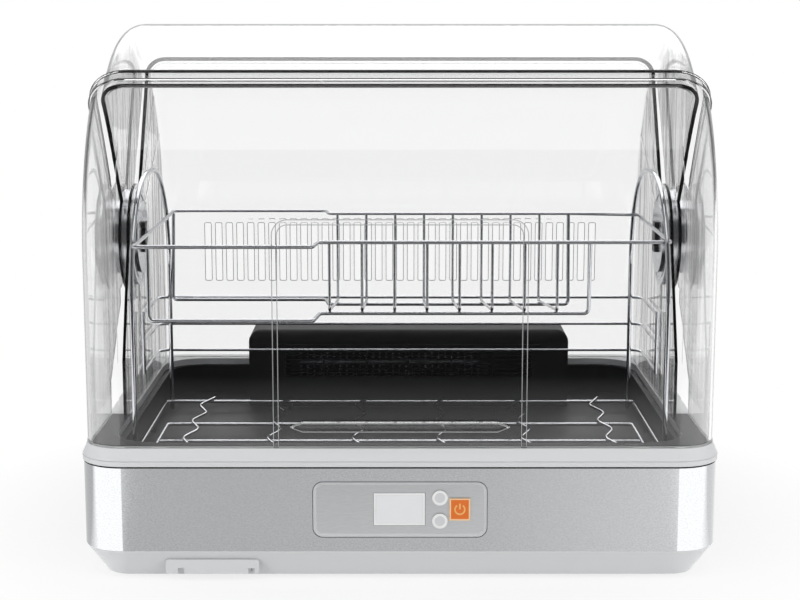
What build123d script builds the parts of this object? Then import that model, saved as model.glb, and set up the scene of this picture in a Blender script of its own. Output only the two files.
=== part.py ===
"""Counter-top dish dryer: a steel-banded base with a warm-air blower, wire racks and a clear swinging lid.

Millimetres. +Z is up, the front faces -Y, and the origin is the middle of the footprint on the table.
"""

import os
from math import cos, radians, sin, sqrt

from build123d import *

# Shared clearances and cut allowance
overrun = 1.0
fit_gap = 0.5
slide_gap = 0.3
pin_gap = 0.02
running_gap = 0.05

# Base shell
base_width = 500.0
base_depth = 384.0
base_corner = 34.0
foot_height = 3.0
foot_radius = 11.0
foot_inset_x = 70.0
foot_inset_y = 50.0
skirt_height = 21.0
skirt_inset_x = 18.0
skirt_inset_y = 8.0
skirt_corner = 20.0
pan_wall = 2.5
pan_floor = 2.5
band_thickness = 1.0
band_height = 66.3
shadow_gap = 1.5
intake_slots = 9
intake_slot_width = 4.0
intake_slot_length = 44.0
intake_pitch = 18.0

# Top rim
rim_height = 13.4
rim_overhang = 1.0
rim_slope_run = 4.0
rim_slope_drop = 9.0
rim_ledge = 20.0
rim_step = 3.0
rim_step_drop = 8.2
rim_wall = 3.0
rim_hollow = 2.0
rim_groove = 0.6

# Drip tray and its drain
tray_flange = 2.5
tray_wall = 2.5
tray_depth = 29.5
tray_corner = 36.0
drain_radius = 6.0
drain_wall = 2.0
drain_length = 50.0
drain_inset_y = 82.0
air_hole_width = 190.0
air_hole_depth = 38.0
coaming_height = 12.0
coaming_wall = 2.0

# Blower housing and outlet
housing_width = 300.0
housing_depth = 56.0
housing_height = 72.5
housing_wall = 2.5
housing_round = 10.0
housing_inset_y = 36.0
housing_x = 8.0
outlet_width = 240.0
outlet_height = 30.0
outlet_rise = 26.0
outlet_frame = 4.0
outlet_flange = 1.5
outlet_slats = 5
slat_thickness = 1.6

# Cross-flow fan, motor and heater
fan_radius = 20.0
fan_length = 170.0
fan_offset_x = -18.0
fan_drop = 28.0
fan_disc = 2.0
fan_discs = 3
fan_blades = 20
blade_thickness = 1.0
blade_depth = 6.0
shaft_radius = 3.0
shaft_tail = 14.0
bearing_thickness = 6.0
bearing_width = 30.0
scroll_gap = 3.0
scroll_wall = 2.0
scroll_tongue_deg = 200.0
saddle_thickness = 4.0
saddle_width = 24.0
motor_radius = 20.0
motor_length = 42.0
motor_standoff = 9.0
cradle_width = 52.0
cradle_thickness = 3.0
heater_length = 170.0
heater_depth = 18.0
heater_height = 26.0
heater_fins = 28
fin_thickness = 1.2
heater_bar = 3.0
heater_lift = 14.0
heater_leg = 8.0
thermostat_radius = 7.0
thermostat_height = 8.0

# Control panel, display and buttons
panel_width = 136.0
panel_height = 45.0
panel_corner = 8.0
panel_z = 57.5
panel_recess = 1.2
panel_groove = 0.9
panel_thickness = 3.0
panel_lip = 4.0
panel_lip_depth = 2.0
display_width = 40.5
display_height = 26.3
display_x = -0.5
display_border = 1.4
display_proud = 0.3
display_depth = 3.5
screen_thickness = 1.6
small_button_radius = 5.1
small_button_x = 31.0
small_button_rise = 9.3
power_button_width = 14.6
power_button_height = 16.2
power_button_corner = 1.6
power_button_x = 46.5
button_gap = 0.25
button_proud = 0.9
button_travel = 0.8
button_flange = 1.6
button_flange_depth = 1.2
stem_radius = 1.6
board_width = 128.0
board_height = 38.0
board_thickness = 1.6
board_standoff = 12.0
boss_radius = 3.5
boss_inset = 5.0
switch_size = 6.0
switch_height = 4.0
screw_head_radius = 2.8
screw_head_height = 1.8
screw_radius = 1.4
screw_length = 9.0

# Power board and inlet
power_board_inset_x = 130.0
power_board_inset_y = 122.0
power_board_width = 100.0
power_board_depth = 90.0
power_board_standoff = 10.0
power_part_share = 0.25
relay_size = 18.0
relay_height = 15.0
choke_radius = 11.0
choke_height = 18.0
capacitor_radius = 7.0
capacitor_height = 22.0
gland_inset_x = 100.0
gland_z = 45.0
gland_radius = 7.8
gland_bore = 3.6
gland_flange_radius = 11.0
gland_length = 15.0
gland_nut_radius = 12.0
gland_nut_height = 5.0
gland_nut_sides = 6

# Drip drawer
drawer_inset_x = 103.5
drawer_width = 60.0
drawer_length = 144.0
drawer_height = 9.0
drawer_wall = 2.0
drawer_face_width = 73.0
drawer_face_height = 11.0
drawer_face_thickness = 2.0
drawer_face_setback = 0.0
drawer_notch_width = 5.0
drawer_notch_shift = 3.0
drawer_notch_height = 4.5
drawer_bar_width = 50.0
rail_thickness = 2.0
rail_height = 7.0

# Clear dome: lid outside, hood in the middle, rear cover inside
hub_z = 247.0
shell_wall = 2.5
lid_inset_x = 3.0
lid_inset_y = 6.0
lid_corner = 30.0
lid_edge_deg = 51.4
lid_knee_y = -66.0
lid_knee_rise = 26.8
lid_heel_y = -76.0
lid_hub_drop = 59.0
lid_floor_gap = 0.4
lid_bead = 1.5
lid_bead_deg = 3.0
shell_gap = 1.0
hood_side_gap = 7.0
hood_corner = 20.5
hood_front_deg = 47.9
hood_bead_deg = 1.6
hood_bead = 2.0
hood_rear_deg = 127.0
cover_front_deg = 121.0
cover_bead_deg = 1.6
cover_bead = 1.6
cover_corner = 17.0
cover_edge_y = -84.0
cover_knee_drop = 94.0
hub_boss_radius = 46.0
rib_degs = (133.0, 150.0)
rib_width = 2.4
rib_height = 1.2
emboss_inset_x = 149.0
emboss_rise_z = 36.0
emboss_corner = 12.0
emboss_line = 4.2
emboss_rise = 1.4
handle_inset_x = 13.0
handle_height = 7.5
handle_tip = 9.0
handle_rise_z = 16.8
handle_depth = 5.0
bond_gap = 0.05
seal_thickness = 1.2
cover_seal_rise = 267.0
gasket_depth = 0.7
vent_pitch = 10.4
vent_width = 6.5
vent_corner = 1.4
vent_margin = 22.0
vent_top_drop = 8.9
vent_height = 56.7

# Pivot hubs
pin_radius = 5.0
disc_radius = 42.0
disc_thickness = 2.0
disc_step_radius = 31.0
disc_step = 2.5
disc_groove_radius = 36.5
disc_groove_width = 2.2
disc_groove_depth = 0.9
ring_thickness = 4.5
knob_length = 26.0
knob_depth = 3.0
knob_waist = 7.5
knob_bar = 5.0
knob_end_width = 12.0
knob_end_height = 5.0
pin_short = 0.5
cap_radius = 22.0
cap_thickness = 2.6
cap_round = 1.2
spacer_radius = 32.0
spacer_gap = 0.1

# Wire racks
hoop_wire = 4.0
frame_wire = 3.2
divider_wire = 2.4
rack_wire = 3.0
guard_wire = 2.6
hoop_side_gap = 16.5
hoop_inset_y = 63.0
hoop_housing_gap = 8.0
hoop_rise = 58.0
hoop_flat = 31.0
rack_rise = 9.5
basket_reach = 13.0
rack_jog_x = -67.0
rack_jog_run = 4.0
rack_bend = 4.0
basket_side_gap = 15.0
basket_front_drop = 59.5
basket_rear_drop = 79.5
basket_rear_gap = 4.0
basket_end_share = 0.62
plates_front_gap = 26.0
plates_rear_gap = 30.0
plates_side_gap = 60.5
divider_count = 8
divider_margin = 8.0
divider_over = 1.2
guard_rises = (22.8, 47.8, 72.8)
guard_side_gap = 3.0
guard_front_y = 0.0
guard_bend = 10.0
lower_side_gap = 1.0
lower_horn_width = 13.0
lower_inner_share = 0.41
lower_rail_share = 0.69
lower_corner_share = 0.72
lower_tip_share = 0.835
lower_lift = 7.5
lower_bend = 4.0
wave_count = 6
wave_margin = 26.0
wave_swing = 5.5
wave_steps = 6
wave_front_share = 0.82
wave_over = 4.0
wave_bend = 22.0
rack_foot_radius = 2.2

# Levels and planes that several pieces share
pan_base_z = foot_height
pan_inside_z = pan_base_z + pan_floor
band_z = pan_base_z + skirt_height
rim_z = band_z + band_height + shadow_gap
rim_top_z = rim_z + rim_height
tray_seat_z = rim_top_z - rim_step_drop
tray_floor_z = tray_seat_z + tray_flange - tray_depth
tray_inside_z = tray_floor_z + tray_wall
rim_width = base_width + 2 * rim_overhang
rim_depth = base_depth + 2 * rim_overhang
rim_inset = rim_slope_run + rim_ledge
well_width = rim_width - 2 * rim_inset
well_depth = rim_depth - 2 * rim_inset
front_y = -base_depth / 2
wall_inner_y = front_y + band_thickness + pan_wall
housing_front_y = base_depth / 2 - housing_inset_y - housing_depth
fan_x = housing_x + fan_offset_x
fan_y = housing_front_y + housing_depth / 2
fan_z = tray_floor_z - fan_drop
drawer_x = drawer_inset_x - base_width / 2
drain_y = front_y + drain_inset_y
gland_x = base_width / 2 - gland_inset_x
power_board_x = base_width / 2 - power_board_inset_x
power_board_y = front_y + power_board_inset_y
lid_radius = base_depth / 2 - lid_inset_y
lid_half_width = base_width / 2 - lid_inset_x
hood_radius = lid_radius - shell_wall - shell_gap
hood_half_width = lid_half_width - shell_wall - hood_side_gap
cover_radius = hood_radius - shell_wall - fit_gap
cover_half_width = hood_half_width - shell_wall - ring_thickness
lid_floor_z = rim_top_z + lid_floor_gap
hoop_x = cover_half_width - hoop_side_gap
hoop_front_y = front_y + hoop_inset_y
hoop_rear_y = housing_front_y - hoop_housing_gap
hoop_depth = hoop_rear_y - hoop_front_y
hoop_bend = (hoop_depth - hoop_flat) / 2
hoop_top_z = hub_z + hoop_rise
rack_top_z = hub_z + rack_rise

os.makedirs("parts", exist_ok=True)


def save(piece, label):
    """Label a finished piece and write it."""
    piece.label = label
    export_step(piece, f"parts/{label}.step")


def rounded_slab(width, depth, corner, low, height):
    """Upright plate or block with rounded vertical corners, centred on the Z axis."""
    with BuildPart() as slab:
        with BuildSketch(Plane.XY.offset(low)):
            RectangleRounded(width, depth, corner)
        extrude(amount=height)
    return slab.part


def front_plate(width, height, corner, x, z, y_front, thickness):
    """Plate that faces -Y, its front at y_front, reaching back by its thickness."""
    plane = Plane(origin=(x, y_front, z), x_dir=(1, 0, 0), z_dir=(0, 1, 0))
    with BuildPart() as plate:
        with BuildSketch(plane):
            RectangleRounded(width, height, corner)
        extrude(amount=thickness)
    return plate.part


def rod(x_low, x_high, y, z, radius):
    """Round bar along X."""
    with BuildPart() as bar:
        with BuildSketch(Plane.YZ.offset(x_low)):
            with Locations((y, z)):
                Circle(radius)
        extrude(amount=x_high - x_low)
    return bar.part


def post(x, y, low, height, radius):
    """Round upright bar."""
    with BuildPart() as bar:
        with BuildSketch(Plane.XY.offset(low)):
            with Locations((x, y)):
                Circle(radius)
        extrude(amount=height)
    return bar.part


def wire(points, diameter, bend, closed=False):
    """Round wire bent along a row of points."""
    with BuildPart() as bar:
        with BuildLine() as path:
            FilletPolyline(*points, radius=bend, close=closed)
        with BuildSketch(Plane(origin=path.line @ 0, z_dir=path.line % 0)):
            Circle(diameter / 2)
        sweep()
    return bar.part


def straight_wire(start, end, diameter):
    """Round straight wire between two points."""
    with BuildPart() as bar:
        with BuildLine() as path:
            Line(start, end)
        with BuildSketch(Plane(origin=path.line @ 0, z_dir=path.line % 0)):
            Circle(diameter / 2)
        sweep()
    return bar.part


def mirrored(piece):
    """The same piece on the other side of the YZ plane."""
    with BuildPart() as other:
        mirror(piece, about=Plane.YZ)
    return other.part


def group(pieces):
    """Separate solids that share one node."""
    return Compound(children=[solid for piece in pieces for solid in piece.solids()])


# Rubber feet
foot_x = base_width / 2 - foot_inset_x
foot_y = base_depth / 2 - foot_inset_y
feet = [post(x, y, 0, foot_height, foot_radius) for x in (-foot_x, foot_x) for y in (-foot_y, foot_y)]
save(group(feet), "rubber_feet")

# Base pan: a flared skirt under an upright wall, with the drawer's slot, the inlet hole and the air intake
power_spot_x = power_board_width / 2 - boss_inset
power_spot_y = power_board_depth / 2 - boss_inset
power_board_spots = [
    (power_board_x + sx * power_spot_x, power_board_y + sy * power_spot_y) for sx in (-1, 1) for sy in (-1, 1)
]
drawer_slot_width = drawer_width + 2 * fit_gap
drawer_slot_height = drawer_height + 2 * fit_gap
drawer_back_y = front_y + drawer_face_setback + drawer_length
rail_front_y = wall_inner_y + skirt_inset_y
with BuildPart() as base_pan:
    with BuildSketch(Plane.XY.offset(pan_base_z)):
        RectangleRounded(base_width - 2 * skirt_inset_x, base_depth - 2 * skirt_inset_y, skirt_corner)
    with BuildSketch(Plane.XY.offset(band_z)):
        RectangleRounded(base_width, base_depth, base_corner)
    loft(ruled=True)
    with BuildSketch(Plane.XY.offset(band_z)):
        RectangleRounded(
            base_width - 2 * band_thickness, base_depth - 2 * band_thickness, base_corner - band_thickness
        )
    extrude(amount=rim_z - band_z)
    inner = base_corner - band_thickness - pan_wall
    inset = band_thickness + pan_wall
    with BuildSketch(Plane.XY.offset(pan_inside_z)):
        RectangleRounded(
            base_width - 2 * skirt_inset_x - 2 * pan_wall,
            base_depth - 2 * skirt_inset_y - 2 * pan_wall,
            skirt_corner - pan_wall,
        )
    with BuildSketch(Plane.XY.offset(band_z)):
        RectangleRounded(base_width - 2 * inset, base_depth - 2 * inset, inner)
    loft(ruled=True, mode=Mode.SUBTRACT)
    with BuildSketch(Plane.XY.offset(band_z)):
        RectangleRounded(base_width - 2 * inset, base_depth - 2 * inset, inner)
    extrude(amount=rim_z - band_z + overrun, mode=Mode.SUBTRACT)
    with BuildSketch(Plane.XY.offset(pan_base_z)):
        with Locations((fan_x, fan_y)):
            with GridLocations(intake_pitch, intake_slot_length, intake_slots, 1):
                SlotOverall(intake_slot_length, intake_slot_width, rotation=90)
    extrude(amount=pan_floor + overrun, mode=Mode.SUBTRACT)
    with BuildSketch(Plane.XY.offset(pan_inside_z)):
        with Locations((drawer_x, wall_inner_y)):
            Rectangle(drawer_slot_width, 2 * (skirt_inset_y + pan_wall + overrun))
    extrude(amount=drawer_slot_height, mode=Mode.SUBTRACT)
    rail_middle_y = (rail_front_y + drawer_back_y) / 2
    rail_offset = drawer_slot_width / 2 + rail_thickness / 2
    with BuildSketch(Plane.XY.offset(pan_inside_z)):
        with Locations((drawer_x - rail_offset, rail_middle_y), (drawer_x + rail_offset, rail_middle_y)):
            Rectangle(rail_thickness, drawer_back_y - rail_front_y)
        with Locations((drawer_x, drawer_back_y + slide_gap + rail_thickness / 2)):
            Rectangle(drawer_slot_width + 2 * rail_thickness, rail_thickness)
    extrude(amount=rail_height)
    with BuildSketch(Plane.XY.offset(pan_inside_z)):
        with Locations(*power_board_spots):
            Circle(boss_radius)
    extrude(amount=power_board_standoff)
    with BuildSketch(Plane.XY.offset(pan_inside_z + power_board_standoff)):
        with Locations(*power_board_spots):
            Circle(screw_radius + pin_gap)
    extrude(amount=-screw_length, mode=Mode.SUBTRACT)
    with BuildSketch(Plane(origin=(0, front_y, panel_z), x_dir=(1, 0, 0), z_dir=(0, 1, 0))):
        RectangleRounded(panel_width, panel_height, panel_corner)
    extrude(amount=inset + overrun, mode=Mode.SUBTRACT)
    with BuildSketch(Plane(origin=(0, -front_y, 0), x_dir=(1, 0, 0), z_dir=(0, -1, 0))):
        with Locations((gland_x, gland_z)):
            Circle(gland_radius + pin_gap)
    extrude(amount=inset + overrun, both=True, mode=Mode.SUBTRACT)
save(base_pan.part, "base_pan")

# Steel band round the upright wall
with BuildPart() as steel_band:
    with BuildSketch(Plane.XY.offset(band_z)):
        RectangleRounded(base_width, base_depth, base_corner)
        RectangleRounded(
            base_width - 2 * band_thickness,
            base_depth - 2 * band_thickness,
            base_corner - band_thickness,
            mode=Mode.SUBTRACT,
        )
    extrude(amount=band_height)
    with BuildSketch(Plane(origin=(0, front_y, panel_z), x_dir=(1, 0, 0), z_dir=(0, 1, 0))):
        RectangleRounded(panel_width, panel_height, panel_corner)
    extrude(amount=band_thickness + overrun, both=True, mode=Mode.SUBTRACT)
    with BuildSketch(Plane(origin=(0, -front_y, 0), x_dir=(1, 0, 0), z_dir=(0, -1, 0))):
        with Locations((gland_x, gland_z)):
            Circle(gland_radius + pin_gap)
    extrude(amount=band_thickness + overrun, both=True, mode=Mode.SUBTRACT)
save(steel_band.part, "steel_band")

# Top rim: sloped outer edge, flat ledge for the dome, inner step for the tray
rim_corner = base_corner + rim_overhang
step_width = well_width - 2 * rim_step
step_depth = well_depth - 2 * rim_step
hollow_width = rim_width - 2 * rim_wall
hollow_depth = rim_depth - 2 * rim_wall
with BuildPart() as top_rim:
    with BuildSketch(Plane.XY.offset(rim_z)):
        RectangleRounded(rim_width, rim_depth, rim_corner)
    extrude(amount=rim_height)
    chamfer(top_rim.faces().sort_by(Axis.Z)[-1].edges(), length=rim_slope_drop, length2=rim_slope_run)
    with BuildSketch(Plane.XY.offset(rim_top_z - rim_slope_drop - rim_groove)):
        RectangleRounded(rim_width + overrun, rim_depth + overrun, rim_corner)
        RectangleRounded(
            rim_width - 2 * rim_groove,
            rim_depth - 2 * rim_groove,
            rim_corner - rim_groove,
            mode=Mode.SUBTRACT,
        )
    extrude(amount=rim_groove, mode=Mode.SUBTRACT)
    with BuildSketch(Plane.XY.offset(rim_z)):
        RectangleRounded(hollow_width, hollow_depth, rim_corner - rim_wall)
    extrude(amount=rim_hollow, mode=Mode.SUBTRACT)
    with BuildSketch(Plane.XY.offset(tray_seat_z)):
        RectangleRounded(well_width, well_depth, tray_corner)
    extrude(amount=rim_step_drop + overrun, mode=Mode.SUBTRACT)
    with BuildSketch(Plane.XY.offset(rim_z)):
        RectangleRounded(step_width, step_depth, tray_corner - rim_step)
    extrude(amount=rim_height, mode=Mode.SUBTRACT)
save(top_rim.part, "top_rim")

# Drip tray: flange on the rim's step, basin, drain spout and a coaming round the air hole
flange_width = well_width - 2 * fit_gap
flange_depth = well_depth - 2 * fit_gap
basin_width = step_width - 2 * fit_gap
basin_depth = step_depth - 2 * fit_gap
basin_corner = tray_corner - rim_step
with BuildPart() as drip_tray:
    add(rounded_slab(flange_width, flange_depth, tray_corner - fit_gap, tray_seat_z, tray_flange))
    add(rounded_slab(basin_width, basin_depth, basin_corner, tray_floor_z, tray_seat_z - tray_floor_z))
    add(
        rounded_slab(
            basin_width - 2 * tray_wall,
            basin_depth - 2 * tray_wall,
            basin_corner - tray_wall,
            tray_inside_z,
            tray_depth,
        ),
        mode=Mode.SUBTRACT,
    )
    with BuildSketch(Plane.XY.offset(tray_floor_z)):
        with Locations((fan_x, fan_y)):
            Rectangle(air_hole_width + 2 * coaming_wall, air_hole_depth + 2 * coaming_wall)
    extrude(amount=tray_wall + coaming_height)
    with BuildSketch(Plane.XY.offset(tray_floor_z)):
        with Locations((fan_x, fan_y)):
            Rectangle(air_hole_width, air_hole_depth)
    extrude(amount=tray_wall + coaming_height + overrun, mode=Mode.SUBTRACT)
    with BuildSketch(Plane.XY.offset(tray_inside_z)):
        with Locations((drawer_x, drain_y)):
            Circle(drain_radius + drain_wall)
    extrude(amount=-drain_length)
    with BuildSketch(Plane.XY.offset(tray_inside_z + overrun)):
        with Locations((drawer_x, drain_y)):
            Circle(drain_radius)
    extrude(amount=-drain_length - 2 * overrun, mode=Mode.SUBTRACT)
save(drip_tray.part, "drip_tray")

# Blower housing over the air hole, with its outlet window
housing_plane = Plane.XY.offset(tray_inside_z)
outlet_z = tray_inside_z + outlet_rise + outlet_height / 2


def housing_block(inset):
    """Block with a rounded top, drawn in from the housing's outside by an inset."""
    with BuildPart() as block:
        with BuildSketch(housing_plane):
            with Locations((housing_x, fan_y)):
                Rectangle(housing_width - 2 * inset, housing_depth - 2 * inset)
        extrude(amount=housing_height - inset)
        fillet(block.faces().sort_by(Axis.Z)[-1].edges(), radius=housing_round - inset)
    return block.part


with BuildPart() as blower_housing:
    add(housing_block(0))
    add(housing_block(housing_wall), mode=Mode.SUBTRACT)
    with BuildSketch(Plane(origin=(housing_x, housing_front_y, outlet_z), x_dir=(1, 0, 0), z_dir=(0, 1, 0))):
        Rectangle(outlet_width, outlet_height)
    extrude(amount=housing_wall + overrun, both=True, mode=Mode.SUBTRACT)
save(blower_housing.part, "blower_housing")

# Outlet grille: a flanged frame with slats
grille_width = outlet_width - 2 * slide_gap
grille_height = outlet_height - 2 * slide_gap
grille_plane = Plane(origin=(housing_x, housing_front_y, outlet_z), x_dir=(1, 0, 0), z_dir=(0, 1, 0))
slat_pitch = (grille_height - 2 * outlet_frame) / outlet_slats
with BuildPart() as outlet_grille:
    with BuildSketch(grille_plane):
        Rectangle(outlet_width + 2 * outlet_frame, outlet_height + 2 * outlet_frame)
    extrude(amount=-outlet_flange)
    with BuildSketch(grille_plane):
        Rectangle(grille_width, grille_height)
    extrude(amount=housing_wall)
    with BuildSketch(grille_plane.offset(-outlet_flange)):
        Rectangle(grille_width - 2 * outlet_frame, grille_height - 2 * outlet_frame)
    extrude(amount=outlet_flange + housing_wall, mode=Mode.SUBTRACT)
    with BuildSketch(grille_plane.offset(-outlet_flange)):
        with GridLocations(0, slat_pitch, 1, outlet_slats):
            Rectangle(grille_width - 2 * outlet_frame, slat_thickness)
        with GridLocations(outlet_width / (outlet_slats + 1), 0, outlet_slats, 1):
            Rectangle(slat_thickness, grille_height - 2 * outlet_frame)
    extrude(amount=outlet_flange + housing_wall)
save(outlet_grille.part, "outlet_grille")

# Cross-flow fan rotor on its shaft
fan_low_x = fan_x - fan_length / 2
fan_high_x = fan_x + fan_length / 2
disc_step_x = (fan_length - fan_disc) / (fan_discs - 1)
with BuildPart() as fan_rotor:
    for number in range(fan_discs):
        with BuildSketch(Plane.YZ.offset(fan_low_x + number * disc_step_x)):
            with Locations((fan_y, fan_z)):
                Circle(fan_radius)
                Circle(shaft_radius + pin_gap, mode=Mode.SUBTRACT)
        extrude(amount=fan_disc)
    with BuildSketch(Plane.YZ.offset(fan_low_x)):
        with Locations((fan_y, fan_z)):
            with PolarLocations(fan_radius - blade_depth / 2, fan_blades):
                Rectangle(blade_depth, blade_thickness)
    extrude(amount=fan_length)
save(fan_rotor.part, "fan_rotor")

bearing_x = fan_low_x - shaft_tail
motor_x = fan_high_x + shaft_tail
save(rod(bearing_x - bearing_thickness, motor_x + shaft_tail, fan_y, fan_z, shaft_radius), "fan_shaft")

# Bearing plate that carries the shaft's free end
with BuildPart() as fan_bearing:
    with BuildSketch(Plane.YZ.offset(bearing_x - bearing_thickness)):
        with Locations((fan_y, (fan_z + pan_inside_z) / 2)):
            Rectangle(bearing_width, fan_z - pan_inside_z)
        with Locations((fan_y, fan_z)):
            Circle(bearing_width / 2)
            Circle(shaft_radius + running_gap, mode=Mode.SUBTRACT)
    extrude(amount=bearing_thickness)
save(fan_bearing.part, "fan_bearing")

# Fan motor and the cradle it stands in
with BuildPart() as fan_motor:
    add(rod(motor_x, motor_x + motor_length, fan_y, fan_z, motor_radius))
    fillet(fan_motor.edges().filter_by(GeomType.CIRCLE), radius=cradle_thickness)
    motor_bore = rod(motor_x, motor_x + shaft_tail + overrun, fan_y, fan_z, shaft_radius + running_gap)
    add(motor_bore, mode=Mode.SUBTRACT)
save(fan_motor.part, "fan_motor")

cradle_x = motor_x + motor_length / 2
with BuildPart() as motor_cradle:
    with BuildSketch(Plane.YZ.offset(cradle_x - motor_standoff)):
        with Locations((fan_y, (fan_z + pan_inside_z) / 2)):
            Rectangle(cradle_width, fan_z - pan_inside_z)
        with Locations((fan_y, fan_z)):
            Circle(motor_radius + pin_gap, mode=Mode.SUBTRACT)
    extrude(amount=2 * motor_standoff)
save(motor_cradle.part, "motor_cradle")

# Scroll that leads the air round the rotor and up to the air hole
scroll_in = fan_radius + scroll_gap
scroll_out = scroll_in + scroll_wall
scroll_length = fan_length + 2 * scroll_gap
with BuildPart() as fan_scroll:
    with BuildSketch(Plane.YZ.offset(fan_x - scroll_length / 2)):
        with BuildLine():
            outer_arc = CenterArc((fan_y, fan_z), scroll_out, 0, -scroll_tongue_deg)
            inner_arc = CenterArc((fan_y, fan_z), scroll_in, 0, -scroll_tongue_deg)
            Line(outer_arc @ 0, inner_arc @ 0)
            Line(outer_arc @ 1, inner_arc @ 1)
        make_face()
        with Locations((fan_y + (scroll_in + scroll_out) / 2, (fan_z + tray_floor_z - slide_gap) / 2)):
            Rectangle(scroll_wall, tray_floor_z - slide_gap - fan_z)
    extrude(amount=scroll_length)
    with BuildSketch(Plane.YZ.offset(fan_x - scroll_length / 2)):
        with Locations((fan_y, (fan_z + pan_inside_z) / 2)):
            Rectangle(saddle_width, fan_z - pan_inside_z)
        with Locations((fan_y, fan_z)):
            Circle((scroll_in + scroll_out) / 2, mode=Mode.SUBTRACT)
    extrude(amount=saddle_thickness)
    with BuildSketch(Plane.YZ.offset(fan_x + scroll_length / 2)):
        with Locations((fan_y, (fan_z + pan_inside_z) / 2)):
            Rectangle(saddle_width, fan_z - pan_inside_z)
        with Locations((fan_y, fan_z)):
            Circle((scroll_in + scroll_out) / 2, mode=Mode.SUBTRACT)
    extrude(amount=-saddle_thickness)
save(fan_scroll.part, "fan_scroll")

# Heater: finned core between two bars, on a pair of legs that stand on the coaming
heater_z = tray_inside_z + coaming_height + heater_lift
heater_top_z = heater_z + heater_height
fin_pitch = (heater_length - fin_thickness) / (heater_fins - 1)
with BuildPart() as heater_core:
    with BuildSketch(Plane.XY.offset(heater_z)):
        with Locations((fan_x, fan_y)):
            with GridLocations(fin_pitch, 0, heater_fins, 1):
                Rectangle(fin_thickness, heater_depth)
    extrude(amount=heater_height)
    with BuildSketch(Plane.XY.offset(heater_z + heater_height / 2 - heater_bar / 2)):
        with Locations((fan_x, fan_y)):
            Rectangle(heater_length, heater_depth)
    extrude(amount=heater_bar)
save(heater_core.part, "heater_core")

leg_x = heater_length / 2 + heater_leg / 2
leg_top_z = tray_floor_z + tray_wall + coaming_height
with BuildPart() as heater_frame:
    with BuildSketch(Plane.XY.offset(leg_top_z)):
        with Locations((fan_x - leg_x, fan_y), (fan_x + leg_x, fan_y)):
            Rectangle(heater_leg, air_hole_depth + 2 * coaming_wall)
    extrude(amount=heater_top_z - leg_top_z)
    with BuildSketch(Plane.XY.offset(heater_top_z)):
        with Locations((fan_x, fan_y)):
            Rectangle(heater_length + 2 * heater_leg, heater_depth)
            Rectangle(heater_length - 2 * heater_leg, heater_depth - 2 * heater_bar, mode=Mode.SUBTRACT)
    extrude(amount=heater_bar)
save(heater_frame.part, "heater_frame")

thermostat_z = heater_top_z + heater_bar
save(post(fan_x + leg_x, fan_y, thermostat_z, thermostat_height, thermostat_radius), "thermostat")

# Control panel set into the band from behind, with its lip on the wall's inner face
panel_y = front_y + panel_recess
lip_y = wall_inner_y
board_y = lip_y + panel_lip_depth + board_standoff
board_spot_x = board_width / 2 - boss_inset
board_spot_z = board_height / 2 - boss_inset
board_spots = [(sx * board_spot_x, sz * board_spot_z) for sx in (-1, 1) for sz in (-1, 1)]
panel_plane = Plane(origin=(0, panel_y, panel_z), x_dir=(1, 0, 0), z_dir=(0, -1, 0))
small_spots = [(small_button_x, small_button_rise), (small_button_x, -small_button_rise)]
with BuildPart() as control_panel:
    add(
        front_plate(
            panel_width - 2 * panel_groove,
            panel_height - 2 * panel_groove,
            panel_corner - panel_groove,
            0,
            panel_z,
            panel_y,
            lip_y - panel_y,
        )
    )
    add(
        front_plate(
            panel_width + 2 * panel_lip,
            panel_height + 2 * panel_lip,
            panel_corner,
            0,
            panel_z,
            lip_y,
            panel_lip_depth,
        )
    )
    with BuildSketch(panel_plane.offset(panel_y - lip_y - panel_lip_depth)):
        with Locations(*board_spots):
            Circle(boss_radius)
    extrude(amount=-board_standoff)
    with BuildSketch(panel_plane.offset(panel_y - board_y)):
        with Locations(*board_spots):
            Circle(screw_radius + pin_gap)
    extrude(amount=screw_length, mode=Mode.SUBTRACT)
    with BuildSketch(panel_plane.offset(overrun)):
        with Locations((display_x, 0)):
            Rectangle(display_width, display_height)
        with Locations(*small_spots):
            Circle(small_button_radius + button_gap)
        with Locations((power_button_x, 0)):
            RectangleRounded(
                power_button_width + 2 * button_gap, power_button_height + 2 * button_gap, power_button_corner
            )
    extrude(amount=-(lip_y + panel_lip_depth - panel_y + 2 * overrun), mode=Mode.SUBTRACT)
save(control_panel.part, "control_panel")

# Display: a pale frame in the panel and the screen inside it
frame_width = display_width - 2 * slide_gap
frame_height = display_height - 2 * slide_gap
screen_width = frame_width - 2 * display_border
screen_height = frame_height - 2 * display_border
display_plane = Plane(origin=(display_x, panel_y - display_proud, panel_z), x_dir=(1, 0, 0), z_dir=(0, 1, 0))
with BuildPart() as display_frame:
    with BuildSketch(display_plane):
        Rectangle(frame_width, frame_height)
        Rectangle(screen_width, screen_height, mode=Mode.SUBTRACT)
    extrude(amount=display_depth)
    with BuildSketch(display_plane.offset(screen_thickness + display_proud)):
        Rectangle(frame_width, frame_height)
    extrude(amount=display_depth - screen_thickness - display_proud)
save(display_frame.part, "display_frame")
with BuildPart() as display_screen:
    with BuildSketch(display_plane.offset(display_proud)):
        Rectangle(screen_width - 2 * pin_gap, screen_height - 2 * pin_gap)
    extrude(amount=screen_thickness)
save(display_screen.part, "display_screen")

# Push buttons: cap in front, flange behind the panel, stem towards its switch
cap_front_y = panel_y - button_proud
flange_y = lip_y + panel_lip_depth + slide_gap
stem_end_y = board_y - switch_height - button_travel - slide_gap


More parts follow.
